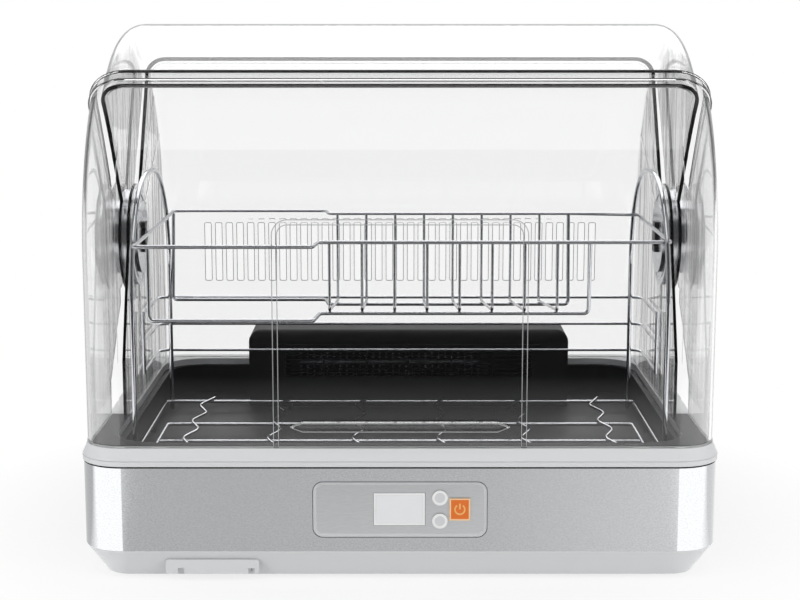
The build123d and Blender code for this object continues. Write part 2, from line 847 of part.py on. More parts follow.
def push_button(x, rise, cap_profile, flange_profile):
    """Button cap, retaining flange and stem on one axis, pressed along +Y."""
    cap_plane = Plane(origin=(x, cap_front_y, panel_z + rise), x_dir=(1, 0, 0), z_dir=(0, 1, 0))
    with BuildPart() as button:
        with BuildSketch(cap_plane):
            cap_profile()
        extrude(amount=flange_y - cap_front_y)
        with BuildSketch(cap_plane.offset(flange_y - cap_front_y)):
            flange_profile()
        extrude(amount=button_flange_depth)
        with BuildSketch(cap_plane.offset(flange_y - cap_front_y)):
            Circle(stem_radius)
        extrude(amount=stem_end_y - flange_y)
        fillet(button.faces().sort_by(Axis.Y)[0].edges(), radius=button_gap)
    return button.part


def round_cap():
    Circle(small_button_radius)


def round_flange():
    Circle(small_button_radius + button_flange)


def square_cap():
    RectangleRounded(power_button_width, power_button_height, power_button_corner)


def square_flange():
    RectangleRounded(
        power_button_width + 2 * button_flange, power_button_height + 2 * button_flange, power_button_corner
    )


save(push_button(small_button_x, small_button_rise, round_cap, round_flange), "mode_button")
save(push_button(small_button_x, -small_button_rise, round_cap, round_flange), "timer_button")
save(push_button(power_button_x, 0, square_cap, square_flange), "power_button")

# Control board on the panel's bosses, its switches and its screws
board_plane = Plane(origin=(0, board_y, panel_z), x_dir=(1, 0, 0), z_dir=(0, 1, 0))
with BuildPart() as control_board:
    with BuildSketch(board_plane):
        Rectangle(board_width, board_height)
        with Locations(*board_spots):
            Circle(screw_radius + pin_gap, mode=Mode.SUBTRACT)
    extrude(amount=board_thickness)
save(control_board.part, "control_board")

switch_spots = small_spots + [(power_button_x, 0)]
switch_y = board_y - switch_height
switches = [
    front_plate(switch_size, switch_size, button_gap, x, panel_z - rise, switch_y, switch_height)
    for x, rise in switch_spots
]
save(group(switches), "button_switches")


def screw(plane):
    """Pan-head screw, its head on the plane and its shank going the other way."""
    with BuildPart() as fastener:
        with BuildSketch(plane):
            Circle(screw_head_radius)
        extrude(amount=screw_head_height)
        with BuildSketch(plane):
            Circle(screw_radius)
        extrude(amount=-(screw_length - overrun))
    return fastener.part


board_back_y = board_y + board_thickness
panel_screws = [
    screw(Plane(origin=(x, board_back_y, panel_z + rise), x_dir=(1, 0, 0), z_dir=(0, 1, 0)))
    for x, rise in board_spots
]
save(group(panel_screws), "panel_screws")

# Power board on the pan's posts
power_board_z = pan_inside_z + power_board_standoff
power_board_top_z = power_board_z + board_thickness
with BuildPart() as power_board:
    with BuildSketch(Plane.XY.offset(power_board_z)):
        with Locations((power_board_x, power_board_y)):
            Rectangle(power_board_width, power_board_depth)
        with Locations(*power_board_spots):
            Circle(screw_radius + pin_gap, mode=Mode.SUBTRACT)
    extrude(amount=board_thickness)
save(power_board.part, "power_board")

part_spread = power_part_share * power_board_width
with BuildPart() as relay:
    with BuildSketch(Plane.XY.offset(power_board_top_z)):
        with Locations((power_board_x - part_spread, power_board_y)):
            Rectangle(relay_size, relay_size)
    extrude(amount=relay_height)
choke = post(power_board_x, power_board_y + part_spread, power_board_top_z, choke_height, choke_radius)
capacitor = post(
    power_board_x + part_spread,
    power_board_y - part_spread / 2,
    power_board_top_z,
    capacitor_height,
    capacitor_radius,
)
save(group([relay.part, choke, capacitor]), "power_components")
board_screws = [screw(Plane(origin=(x, y, power_board_top_z))) for x, y in power_board_spots]
save(group(board_screws), "board_screws")

# Cord inlet: flanged gland through the rear wall and its nut
gland_face_y = -front_y + rim_overhang
gland_plane = Plane(origin=(gland_x, gland_face_y, gland_z), x_dir=(1, 0, 0), z_dir=(0, -1, 0))
with BuildPart() as cord_gland:
    with BuildSketch(gland_plane):
        Circle(gland_flange_radius)
        Circle(gland_bore, mode=Mode.SUBTRACT)
    extrude(amount=rim_overhang)
    with BuildSketch(gland_plane):
        Circle(gland_radius)
        Circle(gland_bore, mode=Mode.SUBTRACT)
    extrude(amount=gland_length)
save(cord_gland.part, "cord_gland")
with BuildPart() as gland_nut:
    with BuildSketch(gland_plane.offset(rim_overhang + band_thickness + pan_wall)):
        RegularPolygon(gland_nut_radius, gland_nut_sides)
        Circle(gland_radius + pin_gap, mode=Mode.SUBTRACT)
    extrude(amount=gland_nut_height)
save(gland_nut.part, "gland_nut")

# Drip drawer: shallow tray with a notched front bar
drawer_z = pan_inside_z + slide_gap
face_y = front_y + drawer_face_setback
with BuildPart() as drip_drawer:
    body_middle_y = (face_y + drawer_back_y) / 2
    hollow_length = drawer_back_y - face_y - 2 * drawer_wall - skirt_inset_y
    with BuildSketch(Plane.XY.offset(drawer_z)):
        with Locations((drawer_x, body_middle_y)):
            Rectangle(drawer_width, drawer_back_y - face_y)
    extrude(amount=drawer_height)
    with BuildSketch(Plane.XY.offset(drawer_z + drawer_wall)):
        with Locations((drawer_x, body_middle_y + skirt_inset_y / 2)):
            Rectangle(drawer_width - 2 * drawer_wall, hollow_length)
    extrude(amount=drawer_height, mode=Mode.SUBTRACT)
    face_plane = Plane(origin=(drawer_x, face_y, drawer_z), x_dir=(1, 0, 0), z_dir=(0, -1, 0))
    with BuildSketch(face_plane):
        with Locations((0, drawer_face_height / 2)):
            RectangleRounded(drawer_face_width, drawer_face_height, drawer_face_thickness)
    extrude(amount=-drawer_face_thickness)
    notch_x = drawer_bar_width / 2 + drawer_notch_width / 2
    with BuildSketch(face_plane.offset(overrun)):
        with Locations((drawer_notch_shift, drawer_notch_height / 2)):
            with GridLocations(2 * notch_x, 0, 2, 1):
                Rectangle(drawer_notch_width, drawer_notch_height)
    extrude(amount=-(drawer_face_thickness + 2 * overrun), mode=Mode.SUBTRACT)
save(drip_drawer.part, "drip_drawer")


def arch(half_width, radius, corner, floor_z):
    """Solid drum over straight sides, with rounded end edges: the outline that the clear shells share."""
    with BuildPart() as solid:
        with BuildSketch(Plane.YZ):
            with BuildLine():
                Line((radius, floor_z), (radius, hub_z))
                CenterArc((0, hub_z), radius, 0, 180)
                Line((-radius, hub_z), (-radius, floor_z))
                Line((-radius, floor_z), (radius, floor_z))
            make_face()
        extrude(amount=half_width, both=True)
        ends = solid.faces().sort_by(Axis.X)[0].edges() + solid.faces().sort_by(Axis.X)[-1].edges()
        fillet(ends.sort_by(Axis.Z)[2:], radius=corner)
    return solid.part


def shell(half_width, radius, corner, floor_z, wall):
    """Arch of one wall thickness, open below."""
    with BuildPart() as skin:
        add(arch(half_width, radius, corner, floor_z))
        add(arch(half_width - wall, radius - wall, corner - wall, floor_z - overrun), mode=Mode.SUBTRACT)
    return skin.part


def ray(degrees, length):
    """Point in the YZ plane at an angle above the forward direction, seen from the pivot."""
    return (-length * cos(radians(degrees)), hub_z + length * sin(radians(degrees)))


dome_reach = 2 * lid_radius
side_reach = lid_half_width + overrun


def wedge(outline, boss):
    """Prism right across the dome from an outline in the YZ plane, with a round boss at the pivot."""
    with BuildPart() as prism:
        with BuildSketch(Plane.YZ):
            with BuildLine():
                Polyline(*outline, close=True)
            make_face()
            if boss:
                with Locations((0, hub_z)):
                    Circle(boss)
        extrude(amount=side_reach, both=True)
    return prism.part


def pin_hole(gap):
    """Bar right across the dome that cuts the pivot hole."""
    return rod(-side_reach, side_reach, 0, hub_z, pin_radius + gap)


# Front lid: the front sector of the dome, with a raised outline on its front and a beaded upper edge
lid_outline = [
    (0, hub_z),
    ray(lid_edge_deg, dome_reach),
    (-dome_reach, hub_z + dome_reach),
    (-dome_reach, 0),
    (lid_heel_y, 0),
    (lid_knee_y, lid_floor_z + lid_knee_rise),
    (0, hub_z - lid_hub_drop),
]
bead_outline = [(0, hub_z), ray(lid_edge_deg, dome_reach), ray(lid_edge_deg - lid_bead_deg, dome_reach)]
emboss_plane = Plane(origin=(0, 0, 0), x_dir=(1, 0, 0), z_dir=(0, -1, 0))
emboss_width = 2 * (lid_half_width - emboss_inset_x)
emboss_top = hub_z + emboss_rise_z


def emboss_prism(inset):
    """Rounded rectangle pushed forward through the lid, running out below its lower edge."""
    low = lid_floor_z - 2 * emboss_corner
    width = emboss_width - 2 * inset
    height = emboss_top - low - 2 * inset
    with BuildPart() as prism:
        with BuildSketch(emboss_plane):
            with Locations((0, (low + emboss_top) / 2)):
                RectangleRounded(width, height, emboss_corner - inset)
        extrude(amount=dome_reach)
    return prism.part


line_depth = emboss_rise + shell_wall / 2
bead_depth = lid_bead + shell_wall
bead_half_width = lid_half_width + lid_bead
with BuildPart() as raised_line:
    add(shell(lid_half_width, lid_radius + emboss_rise, lid_corner, lid_floor_z, line_depth))
    add(emboss_prism(0), mode=Mode.INTERSECT)
    add(emboss_prism(emboss_line), mode=Mode.SUBTRACT)
with BuildPart() as lid_bead_ring:
    add(shell(bead_half_width, lid_radius + lid_bead, lid_corner + lid_bead, lid_floor_z, bead_depth))
    add(wedge(bead_outline, 0), mode=Mode.INTERSECT)
    add(rod(-2 * side_reach, 2 * side_reach, 0, hub_z, hub_boss_radius), mode=Mode.SUBTRACT)
with BuildPart() as front_lid:
    add(shell(lid_half_width, lid_radius, lid_corner, lid_floor_z, shell_wall))
    add(wedge(lid_outline, hub_boss_radius), mode=Mode.INTERSECT)
    add(lid_bead_ring.part)
    add(raised_line.part)
    add(pin_hole(running_gap), mode=Mode.SUBTRACT)
save(front_lid.part, "front_lid")

# Handle bar bonded to the lid, with pointed ends
handle_half = emboss_width / 2 - handle_inset_x
handle_points = [
    (-handle_half, 0),
    (handle_tip - handle_half, handle_height / 2),
    (handle_half - handle_tip, handle_height / 2),
    (handle_half, 0),
    (handle_half - handle_tip, -handle_height / 2),
    (handle_tip - handle_half, -handle_height / 2),
]
handle_plane = Plane(
    origin=(0, -lid_radius - bond_gap, lid_floor_z + handle_rise_z), x_dir=(1, 0, 0), z_dir=(0, -1, 0)
)
with BuildPart() as lid_handle:
    with BuildSketch(handle_plane):
        with BuildLine():
            Polyline(*handle_points, close=True)
        make_face()
    extrude(amount=handle_depth)
    fillet(lid_handle.faces().sort_by(Axis.Y)[0].edges(), radius=emboss_rise)
save(lid_handle.part, "lid_handle")

# Top hood: the fixed middle of the dome, with a thick front edge
hood_outline = [
    (0, hub_z),
    ray(hood_front_deg, dome_reach),
    (-dome_reach, hub_z + dome_reach),
    (dome_reach, hub_z + dome_reach),
    ray(hood_rear_deg, dome_reach),
]
edge_outline = [(0, hub_z), ray(hood_front_deg, dome_reach), ray(hood_front_deg + hood_bead_deg, dome_reach)]
with BuildPart() as hood_edge:
    add(shell(hood_half_width, hood_radius, hood_corner, lid_floor_z, shell_wall + hood_bead))
    add(wedge(edge_outline, 0), mode=Mode.INTERSECT)
    add(rod(-side_reach, side_reach, 0, hub_z, hub_boss_radius), mode=Mode.SUBTRACT)
with BuildPart() as top_hood:
    add(shell(hood_half_width, hood_radius, hood_corner, lid_floor_z, shell_wall))
    add(wedge(hood_outline, hub_boss_radius), mode=Mode.INTERSECT)
    add(hood_edge.part)
    add(pin_hole(pin_gap), mode=Mode.SUBTRACT)
save(top_hood.part, "top_hood")

# Rear cover: the fixed back of the dome on the rim, with its vents and stiffening ribs
cover_outline = [
    (0, hub_z),
    ray(cover_front_deg, dome_reach),
    (dome_reach, hub_z + dome_reach),
    (dome_reach, 0),
    (cover_edge_y, 0),
    (cover_edge_y, hub_z - cover_knee_drop),
    (-hub_boss_radius, hub_z),
]
cover_inner_x = cover_half_width - shell_wall
rib_start = hub_boss_radius + rib_width
rib_run = cover_radius - cover_corner - rib_width - rib_start
rib_middle = rib_start + rib_run / 2
vent_span = cover_half_width - cover_corner - vent_margin
vent_count = 1 + 2 * int(vent_span / vent_pitch)
seam_rear_deg = cover_front_deg + cover_bead_deg
seam_outline = [(0, hub_z), ray(cover_front_deg, dome_reach), ray(seam_rear_deg, dome_reach)]
with BuildPart() as cover_edge:
    add(shell(cover_half_width, cover_radius, cover_corner, rim_top_z, shell_wall + cover_bead))
    add(wedge(seam_outline, 0), mode=Mode.INTERSECT)
    add(rod(-side_reach, side_reach, 0, hub_z, hub_boss_radius), mode=Mode.SUBTRACT)
with BuildPart() as rear_cover:
    add(shell(cover_half_width, cover_radius, cover_corner, rim_top_z, shell_wall))
    add(wedge(cover_outline, hub_boss_radius), mode=Mode.INTERSECT)
    add(cover_edge.part)
    with BuildSketch(Plane(origin=(0, cover_radius, 0), x_dir=(1, 0, 0), z_dir=(0, -1, 0))):
        with Locations((0, hub_z - vent_top_drop - vent_height / 2)):
            with GridLocations(vent_pitch, 0, vent_count, 1):
                RectangleRounded(vent_width, vent_height, vent_corner)
    extrude(amount=2 * shell_wall, both=True, mode=Mode.SUBTRACT)
    for degrees in rib_degs:
        rib_y, rib_z = ray(degrees, rib_middle)
        for side in (-1, 1):
            with BuildSketch(Plane.YZ.offset(side * cover_inner_x)):
                with Locations(Location((rib_y, rib_z), -degrees)):
                    SlotOverall(rib_run, rib_width)
            extrude(amount=-side * rib_height)
    add(pin_hole(pin_gap), mode=Mode.SUBTRACT)
save(rear_cover.part, "rear_cover")

# Dark seals: a gasket under the rim, and strips on the front edges of the hood and of the rear cover
def edge_seal(half_width, radius, corner, degrees, rise):
    """Strip on the flat front edge of a shell, up from each pivot boss to a height over the rim."""
    out_y, out_z = ray(degrees, dome_reach)
    step_y, step_z = ray(degrees - 90, seal_thickness)
    outline = [(0, hub_z), (out_y, out_z), (out_y + step_y, out_z + step_z - hub_z), (step_y, step_z)]
    with BuildPart() as strip:
        add(shell(half_width, radius, corner, lid_floor_z, shell_wall))
        add(wedge(outline, 0), mode=Mode.INTERSECT)
        add(rod(-side_reach, side_reach, 0, hub_z, hub_boss_radius), mode=Mode.SUBTRACT)
        add(rounded_slab(2 * side_reach, dome_reach, corner, lid_floor_z, rise), mode=Mode.INTERSECT)
    return strip.part


with BuildPart() as rim_gasket:
    with BuildSketch(Plane.XY.offset(rim_z - shadow_gap)):
        inset = band_thickness - gasket_depth
        RectangleRounded(base_width - 2 * inset, base_depth - 2 * inset, base_corner - inset)
        RectangleRounded(
            base_width - 2 * band_thickness,
            base_depth - 2 * band_thickness,
            base_corner - band_thickness,
            mode=Mode.SUBTRACT,
        )
    extrude(amount=shadow_gap)
hood_seal = edge_seal(hood_half_width, hood_radius, hood_corner, hood_front_deg, dome_reach)
cover_seal = edge_seal(cover_half_width, cover_radius, cover_corner, cover_front_deg, cover_seal_rise)
save(group([rim_gasket.part, hood_seal, cover_seal]), "edge_seals")

# Pivot hubs, right side then mirrored: disc and knob inside, rings between the shells, pin and outer cap
disc_x = cover_inner_x - disc_thickness
step_x = disc_x - disc_step
knob_x = step_x - knob_depth
lid_inner_x = lid_half_width - shell_wall
with BuildPart() as hub_disc:
    add(rod(disc_x, cover_inner_x, 0, hub_z, disc_radius))
    add(rod(step_x, disc_x, 0, hub_z, disc_step_radius))
    with BuildSketch(Plane.YZ.offset(disc_x)):
        with Locations((0, hub_z)):
            Circle(disc_groove_radius + disc_groove_width / 2)
            Circle(disc_groove_radius - disc_groove_width / 2, mode=Mode.SUBTRACT)
    extrude(amount=disc_groove_depth, mode=Mode.SUBTRACT)
    add(pin_hole(pin_gap), mode=Mode.SUBTRACT)
with BuildPart() as hub_ring:
    add(rod(cover_half_width, hood_half_width - shell_wall, 0, hub_z, disc_radius))
    add(pin_hole(pin_gap), mode=Mode.SUBTRACT)
pivot_pin = rod(knob_x + pin_short, lid_half_width - pin_short, 0, hub_z, pin_radius)
with BuildPart() as hub_knob:
    with BuildSketch(Plane.YZ.offset(knob_x)):
        with Locations((0, hub_z)):
            Circle(knob_waist)
            Rectangle(knob_bar, knob_length)
            with GridLocations(0, knob_length - knob_end_height, 1, 2):
                Rectangle(knob_end_width, knob_end_height)
    extrude(amount=knob_depth)
    add(rod(knob_x + pin_short, step_x + overrun, 0, hub_z, pin_radius + pin_gap), mode=Mode.SUBTRACT)
with BuildPart() as hub_cap:
    add(rod(lid_half_width, lid_half_width + cap_thickness, 0, hub_z, cap_radius))
    fillet(hub_cap.faces().sort_by(Axis.X)[-1].edges(), radius=cap_round)
with BuildPart() as hub_spacer:
    add(rod(hood_half_width, lid_inner_x - spacer_gap, 0, hub_z, spacer_radius))
    add(pin_hole(pin_gap), mode=Mode.SUBTRACT)
hub_pieces = {
    "hub_disc": hub_disc.part,
    "hub_ring": hub_ring.part,
    "hub_pin": pivot_pin,
    "hub_knob": hub_knob.part,
    "hub_cap": hub_cap.part,
}
for label, piece in hub_pieces.items():
    save(piece, f"right_{label}")
    save(mirrored(piece), f"left_{label}")
save(group([hub_spacer.part, mirrored(hub_spacer.part)]), "hub_spacers")

# Side hoops that stand in the tray
hoop_points = [
    (hoop_x, hoop_front_y, tray_inside_z),
    (hoop_x, hoop_front_y, hoop_top_z),
    (hoop_x, hoop_rear_y, hoop_top_z),
    (hoop_x, hoop_rear_y, tray_inside_z),
]
right_hoop = wire(hoop_points, hoop_wire, hoop_bend)
save(right_hoop, "right_hoop")
save(mirrored(right_hoop), "left_hoop")

# Upper rack: a top rail that steps in behind the cup basket and rests against the hoops
rail_touch = (hoop_wire + frame_wire) / 2
arch_rise = rack_top_z - (hoop_top_z - hoop_bend)
arch_reach = sqrt((hoop_bend - rail_touch) ** 2 - arch_rise**2)
rack_front_y = hoop_front_y + hoop_bend - arch_reach
rack_rear_y = hoop_rear_y - hoop_bend + arch_reach
rack_left_front_y = hoop_front_y - basket_reach
rack_left_rear_y = hoop_rear_y + basket_reach
rack_left_x = -(hoop_x - rail_touch)
rack_right_x = hoop_x + rail_touch
jog_left_x = rack_jog_x - rack_jog_run / 2
jog_right_x = rack_jog_x + rack_jog_run / 2
rail_points = [
    (rack_left_x, rack_left_front_y, rack_top_z),
    (jog_left_x, rack_left_front_y, rack_top_z),
    (jog_right_x, rack_front_y, rack_top_z),
    (rack_right_x, rack_front_y, rack_top_z),
    (rack_right_x, rack_rear_y, rack_top_z),
    (jog_right_x, rack_rear_y, rack_top_z),
    (jog_left_x, rack_left_rear_y, rack_top_z),
    (rack_left_x, rack_left_rear_y, rack_top_z),
]
save(wire(rail_points, frame_wire, rack_bend, closed=True), "upper_rack_rail")

basket_x = basket_side_gap - hoop_x
basket_front_z = rack_top_z - basket_front_drop
basket_rear_z = rack_top_z - basket_rear_drop
basket_rear_y = hoop_rear_y - basket_rear_gap
plates_front_y = hoop_front_y + plates_front_gap
plates_rear_y = hoop_rear_y - plates_rear_gap
plates_end_x = hoop_x - plates_side_gap


def basket_wire(rail_left_y, rail_right_y, left_x, left_y, right_y, low_z, inward, left_drop):
    """Wire that drops from the rail, runs under the basket and the plates, and climbs back to the rail."""
    points = [
        (left_x, rail_left_y + inward * frame_wire, rack_top_z - left_drop),
        (left_x, left_y, low_z),
        (jog_left_x, left_y, low_z),
        (jog_right_x, right_y, low_z),
        (plates_end_x, right_y, low_z),
        (plates_end_x, rail_right_y + inward * frame_wire, rack_top_z),
    ]
    return wire(points, frame_wire, rack_bend)


left_front_y = rack_left_front_y + frame_wire
front_wire = basket_wire(
    rack_left_front_y, rack_front_y, basket_x, left_front_y, plates_front_y, basket_front_z, 1, 0
)
save(front_wire, "upper_rack_front")
end_drop = basket_end_share * frame_wire
rear_wire = basket_wire(
    rack_left_rear_y, rack_rear_y, rack_left_x, basket_rear_y, plates_rear_y, basket_rear_z, -1, end_drop
)
save(rear_wire, "upper_rack_rear")


def floor_line(front, rear, y):
    """Height of a wire that lies on the front and rear rack wires, at one depth."""
    slope = (basket_rear_z - basket_front_z) / (rear - front)
    lift = (frame_wire + divider_wire) / 2 * sqrt(1 + slope**2)
    return basket_front_z + slope * (y - front) + lift


divider_touch = (frame_wire + divider_wire) / 2
divider_front_y = rack_front_y + divider_touch
divider_rear_y = rack_rear_y - divider_touch
divider_top_z = rack_top_z + divider_over
divider_first_x = jog_right_x + divider_margin
divider_pitch = (plates_end_x - divider_first_x) / divider_count
dividers = []
for number in range(divider_count):
    x = divider_first_x + number * divider_pitch
    divider_points = [
        (x, divider_front_y, divider_top_z),
        (x, divider_front_y, floor_line(plates_front_y, plates_rear_y, divider_front_y)),
        (x, divider_rear_y, floor_line(plates_front_y, plates_rear_y, divider_rear_y)),
        (x, divider_rear_y, divider_top_z),
    ]
    dividers.append(wire(divider_points, divider_wire, rack_bend))
save(group(dividers), "plate_dividers")

# Guard rails behind the hoops, with an upright at each front end
guard_x = cover_half_width - shell_wall - guard_side_gap
guard_rear_y = hoop_rear_y + (hoop_wire + guard_wire) / 2
guard_zs = [rim_top_z + rise for rise in guard_rises]
guards = []
for z in guard_zs:
    guard_points = [
        (-guard_x, guard_front_y, z),
        (-guard_x, guard_rear_y, z),
        (guard_x, guard_rear_y, z),
        (guard_x, guard_front_y, z),
    ]
    guards.append(wire(guard_points, guard_wire, guard_bend))
save(group(guards), "guard_rails")
upright_low_z = min(guard_zs) - guard_wire
upright_high_z = max(guard_zs) + guard_wire
upright_y = guard_front_y - guard_wire / 2
upright_height = upright_high_z - upright_low_z
uprights = [post(x, upright_y, upright_low_z, upright_height, guard_wire / 2) for x in (-guard_x, guard_x)]
save(group(uprights), "guard_uprights")

# Lower rack: one closed wire with a slanted horn at each end, a front rail, wavy bowl wires and small feet
lower_z = tray_inside_z + lower_lift
lower_x = basin_width / 2 - tray_wall - lower_side_gap - rack_wire / 2
horn_x = lower_x - lower_horn_width
lower_rear_y = hoop_rear_y - (hoop_wire + rack_wire) / 2
lower_inner_y = lower_rear_y - lower_inner_share * hoop_depth
lower_rail_y = lower_rear_y - lower_rail_share * hoop_depth
lower_corner_y = lower_rear_y - lower_corner_share * hoop_depth
lower_tip_y = lower_rear_y - lower_tip_share * hoop_depth
lower_points = [
    (-lower_x, lower_rear_y, lower_z),
    (lower_x, lower_rear_y, lower_z),
    (lower_x, lower_corner_y, lower_z),
    (horn_x, lower_tip_y, lower_z),
    (horn_x, lower_inner_y, lower_z),
    (-horn_x, lower_inner_y, lower_z),
    (-horn_x, lower_tip_y, lower_z),
    (-lower_x, lower_corner_y, lower_z),
]
save(wire(lower_points, rack_wire, lower_bend, closed=True), "lower_rack_loop")
front_rail_x = horn_x - rack_wire / 2
save(
    straight_wire((-front_rail_x, lower_rail_y, lower_z), (front_rail_x, lower_rail_y, lower_z), rack_wire),
    "lower_rack_rail",
)
wave_z = lower_z + (rack_wire + divider_wire) / 2
wave_front_y = lower_rear_y - wave_front_share * hoop_depth
wave_pitch = (lower_rear_y + wave_over - wave_front_y) / wave_steps
wave_spread = 2 * (horn_x - wave_margin) / (wave_count - 1)
waves = []
for number in range(wave_count):
    middle_x = wave_margin - horn_x + number * wave_spread
    wave_points = [
        (middle_x + wave_swing * (-1) ** step, wave_front_y + step * wave_pitch, wave_z)
        for step in range(wave_steps + 1)
    ]
    waves.append(wire(wave_points, divider_wire, wave_bend))
save(group(waves), "bowl_wires")
rack_foot_height = lower_lift - rack_wire / 2
rack_foot_spots = [(x, y) for x in (-lower_x, lower_x) for y in (lower_rail_y, lower_inner_y)]
rack_foot_spots += [(-horn_x / 2, lower_rear_y), (horn_x / 2, lower_rear_y)]
rack_feet = [post(x, y, tray_inside_z, rack_foot_height, rack_foot_radius) for x, y in rack_foot_spots]
save(group(rack_feet), "rack_feet")
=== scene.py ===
import math

import bpy
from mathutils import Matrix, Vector


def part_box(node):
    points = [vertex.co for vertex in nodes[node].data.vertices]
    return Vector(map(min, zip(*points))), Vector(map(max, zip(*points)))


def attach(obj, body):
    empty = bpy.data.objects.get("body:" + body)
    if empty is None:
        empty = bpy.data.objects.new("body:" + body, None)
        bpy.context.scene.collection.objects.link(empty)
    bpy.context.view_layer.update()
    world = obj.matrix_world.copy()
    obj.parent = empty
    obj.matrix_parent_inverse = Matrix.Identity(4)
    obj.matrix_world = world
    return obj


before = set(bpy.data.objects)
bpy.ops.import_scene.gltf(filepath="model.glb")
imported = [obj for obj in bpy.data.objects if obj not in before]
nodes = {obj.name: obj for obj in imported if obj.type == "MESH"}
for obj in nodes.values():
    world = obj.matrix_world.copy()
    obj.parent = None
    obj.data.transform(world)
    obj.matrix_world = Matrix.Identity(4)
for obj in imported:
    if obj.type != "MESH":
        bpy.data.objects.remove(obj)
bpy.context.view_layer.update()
scene = bpy.context.scene

# Camera: where the photograph was taken from, in metres and degrees
CAMERA_PLACE = (0.0, -1.454, 0.430)
CAMERA_PITCH = 9.34
CAMERA_NEAR = 0.05
FOCAL_PIXELS = 1682.0
IMAGE_WIDTH = 800.0
SENSOR = 36.0

# Dome: forms that the fine lines follow, in metres and degrees
HUB_Z = 0.247
LID_FLOOR_Z = 0.1056
LID_RADIUS = 0.186
LID_HALF = 0.247
LID_CORNER = 0.030
LID_WALL = 0.0025
LID_BEAD = 0.0015
LID_EDGE_DEG = 51.4
LID_BEAD_DEG = 3.0
LID_LINE_START = 0.060
LID_BOSS = 0.046
LID_BOSS_FOOT = 0.188
LID_KNEE = (-0.066, 0.1324)
LID_HEEL_Y = -0.068
HEM_LIFT = 0.0006
EMBOSS_HALF = 0.098
EMBOSS_TOP = 0.283
EMBOSS_CORNER = 0.012
EMBOSS_WIDTH = 0.0042
EMBOSS_RISE = 0.0014
EMBOSS_INSET = 0.0002
EMBOSS_LIFT = 0.001
HANDLE_TIP = 0.009
HANDLE_ROUND = 0.00042
VENT_COUNT = 37
VENT_PITCH = 0.0104
VENT_WIDTH = 0.0065
VENT_HEIGHT = 0.0567
VENT_CORNER = 0.0014
VENT_Z = 0.20975
COVER_INNER_Y = 0.177

# Radii of the fine lines, in metres
RIM_LINE_RADIUS = 0.00045
HEM_LINE_RADIUS = 0.0004
EMBOSS_LINE_RADIUS = 0.00032
HANDLE_LINE_RADIUS = 0.00045
VENT_LINE_RADIUS = 0.00028

# Dark sheet on the rim's top: from the well's edge out to the lid, in metres
RIM_TOP = 0.1052
LIP_TOP = 0.1055
WELL_HALF = 0.227
WELL_FRONT = -0.169
WELL_CORNER = 0.036
LIP_HALF = 0.2435
LIP_FRONT = -0.1825
LIP_CORNER = 0.027
LIP_REAR = -0.070

# Control panel, its buttons and their print, in metres, degrees and shares of a button's width
PANEL_WIDTH = 0.136
PANEL_HEIGHT = 0.045
PANEL_CORNER = 0.008
PANEL_BEVEL = 0.003
PANEL_SEAT = 0.0006
PANEL_LIFT = 0.00005
PRINT_RISE = 0.00006
CENTRE_RISE = 0.00004
RING_SHARE = 0.45
CENTRE_SHARE = 0.30
SIGN_RADIUS = 0.0038
SIGN_HALF_WIDTH = 0.0006
SIGN_START = 125
SIGN_END = 415
SIGN_BAR_LOW = 0.0002
SIGN_BAR_HIGH = 0.0048
POWER_EDGE = 0.0008
POWER_BORDER = 0.0012

# Steps of the round stretches
BOSS_STEPS = 24
CORNER_STEPS = 10
EMBOSS_STEPS = 12
PANEL_STEPS = 6
VENT_STEPS = 3
SIGN_STEPS = 40
CIRCLE_POINTS = 36

# Surfaces: how far the roughness strays, and the painted shade and painted streaks of shade in clear
# mouldings
PLASTIC_SPREAD = (-0.04, 0.06)
METAL_SPREAD = (-0.05, 0.07)
CHROME_SPREAD = (-0.03, 0.05)
METAL_DETAIL = 4.0
METAL_BUMP = 0.05
METAL_BUMP_DEPTH = 0.0001
CHROME_GRAIN = 60.0
CLEAR_SHADE = [(0.0, 0.985), (0.70, 0.97), (0.82, 0.70), (0.90, 0.50), (1.0, 0.20)]
CLEAR_TINT = (0.965, 0.975, 0.98)
CLEAR_DEPTH_TINT = (0.30, 0.32, 0.33, 1.0)
STREAK_GRAIN = 150.0
STREAK_STRETCH = (1.0, 1.0, 0.03)
STREAK_DETAIL = 2.0
STREAK_SHADE = [(0.42, 0.08), (0.60, 1.0)]
STREAK_FACING = (0.76, 0.86)

# World: light levels, and the directions between which they change
WORLD_LIGHT = 0.40
THROUGH_LEVEL = 1.03
OVERHEAD_LEVELS = [(0.0, 1.0), (0.55, 1.0), (0.68, 0.12), (0.90, 0.12), (1.0, 0.60)]
BEHIND_Y = (0.245, 0.275)
BEHIND_Z = (0.20, 0.34)
BEHIND_LEVELS = (0.75, 2.6)
BEHIND_SIDES = (0.40, 0.66)
BESIDE_SIDES = (0.60, 0.90)
BESIDE_LEVEL = 0.72
BEFORE_LEVELS = [(0.0, 0.5), (0.40, 0.3), (0.50, 0.08), (1.0, 0.06)]
HALF_BOUNCE = 0.5

# Floor: light levels, and the places between which they change, in metres
FLOOR_SIZE = 12.0
PAPER = (0.86, 0.86, 0.86, 1.0)
FADE_REACH = (0.24, 0.42)
FADE_SHARES = (0.80, 1.0)
SIDE_CARD_LEVEL = 1.95
SIDE_CARD_Y = (-0.13, -0.20)
CARD_EDGE_Y = (-0.20, -0.90)
CARD_EDGE_X = (0.220, 0.343)
CARD_EDGE_SOFT = (-0.004, 0.004)
FRONT_CARD_LEFT = (-0.6, 0.3)
FRONT_CARD_LEVELS = (0.81, 0.87)
FRONT_CARD_RIGHT = (0.3, 1.0)
FRONT_CARD_GAIN = 0.27
DARK_ROOM_LEVEL = 0.06
DARK_ROOM_Y = (-0.65, -0.95)

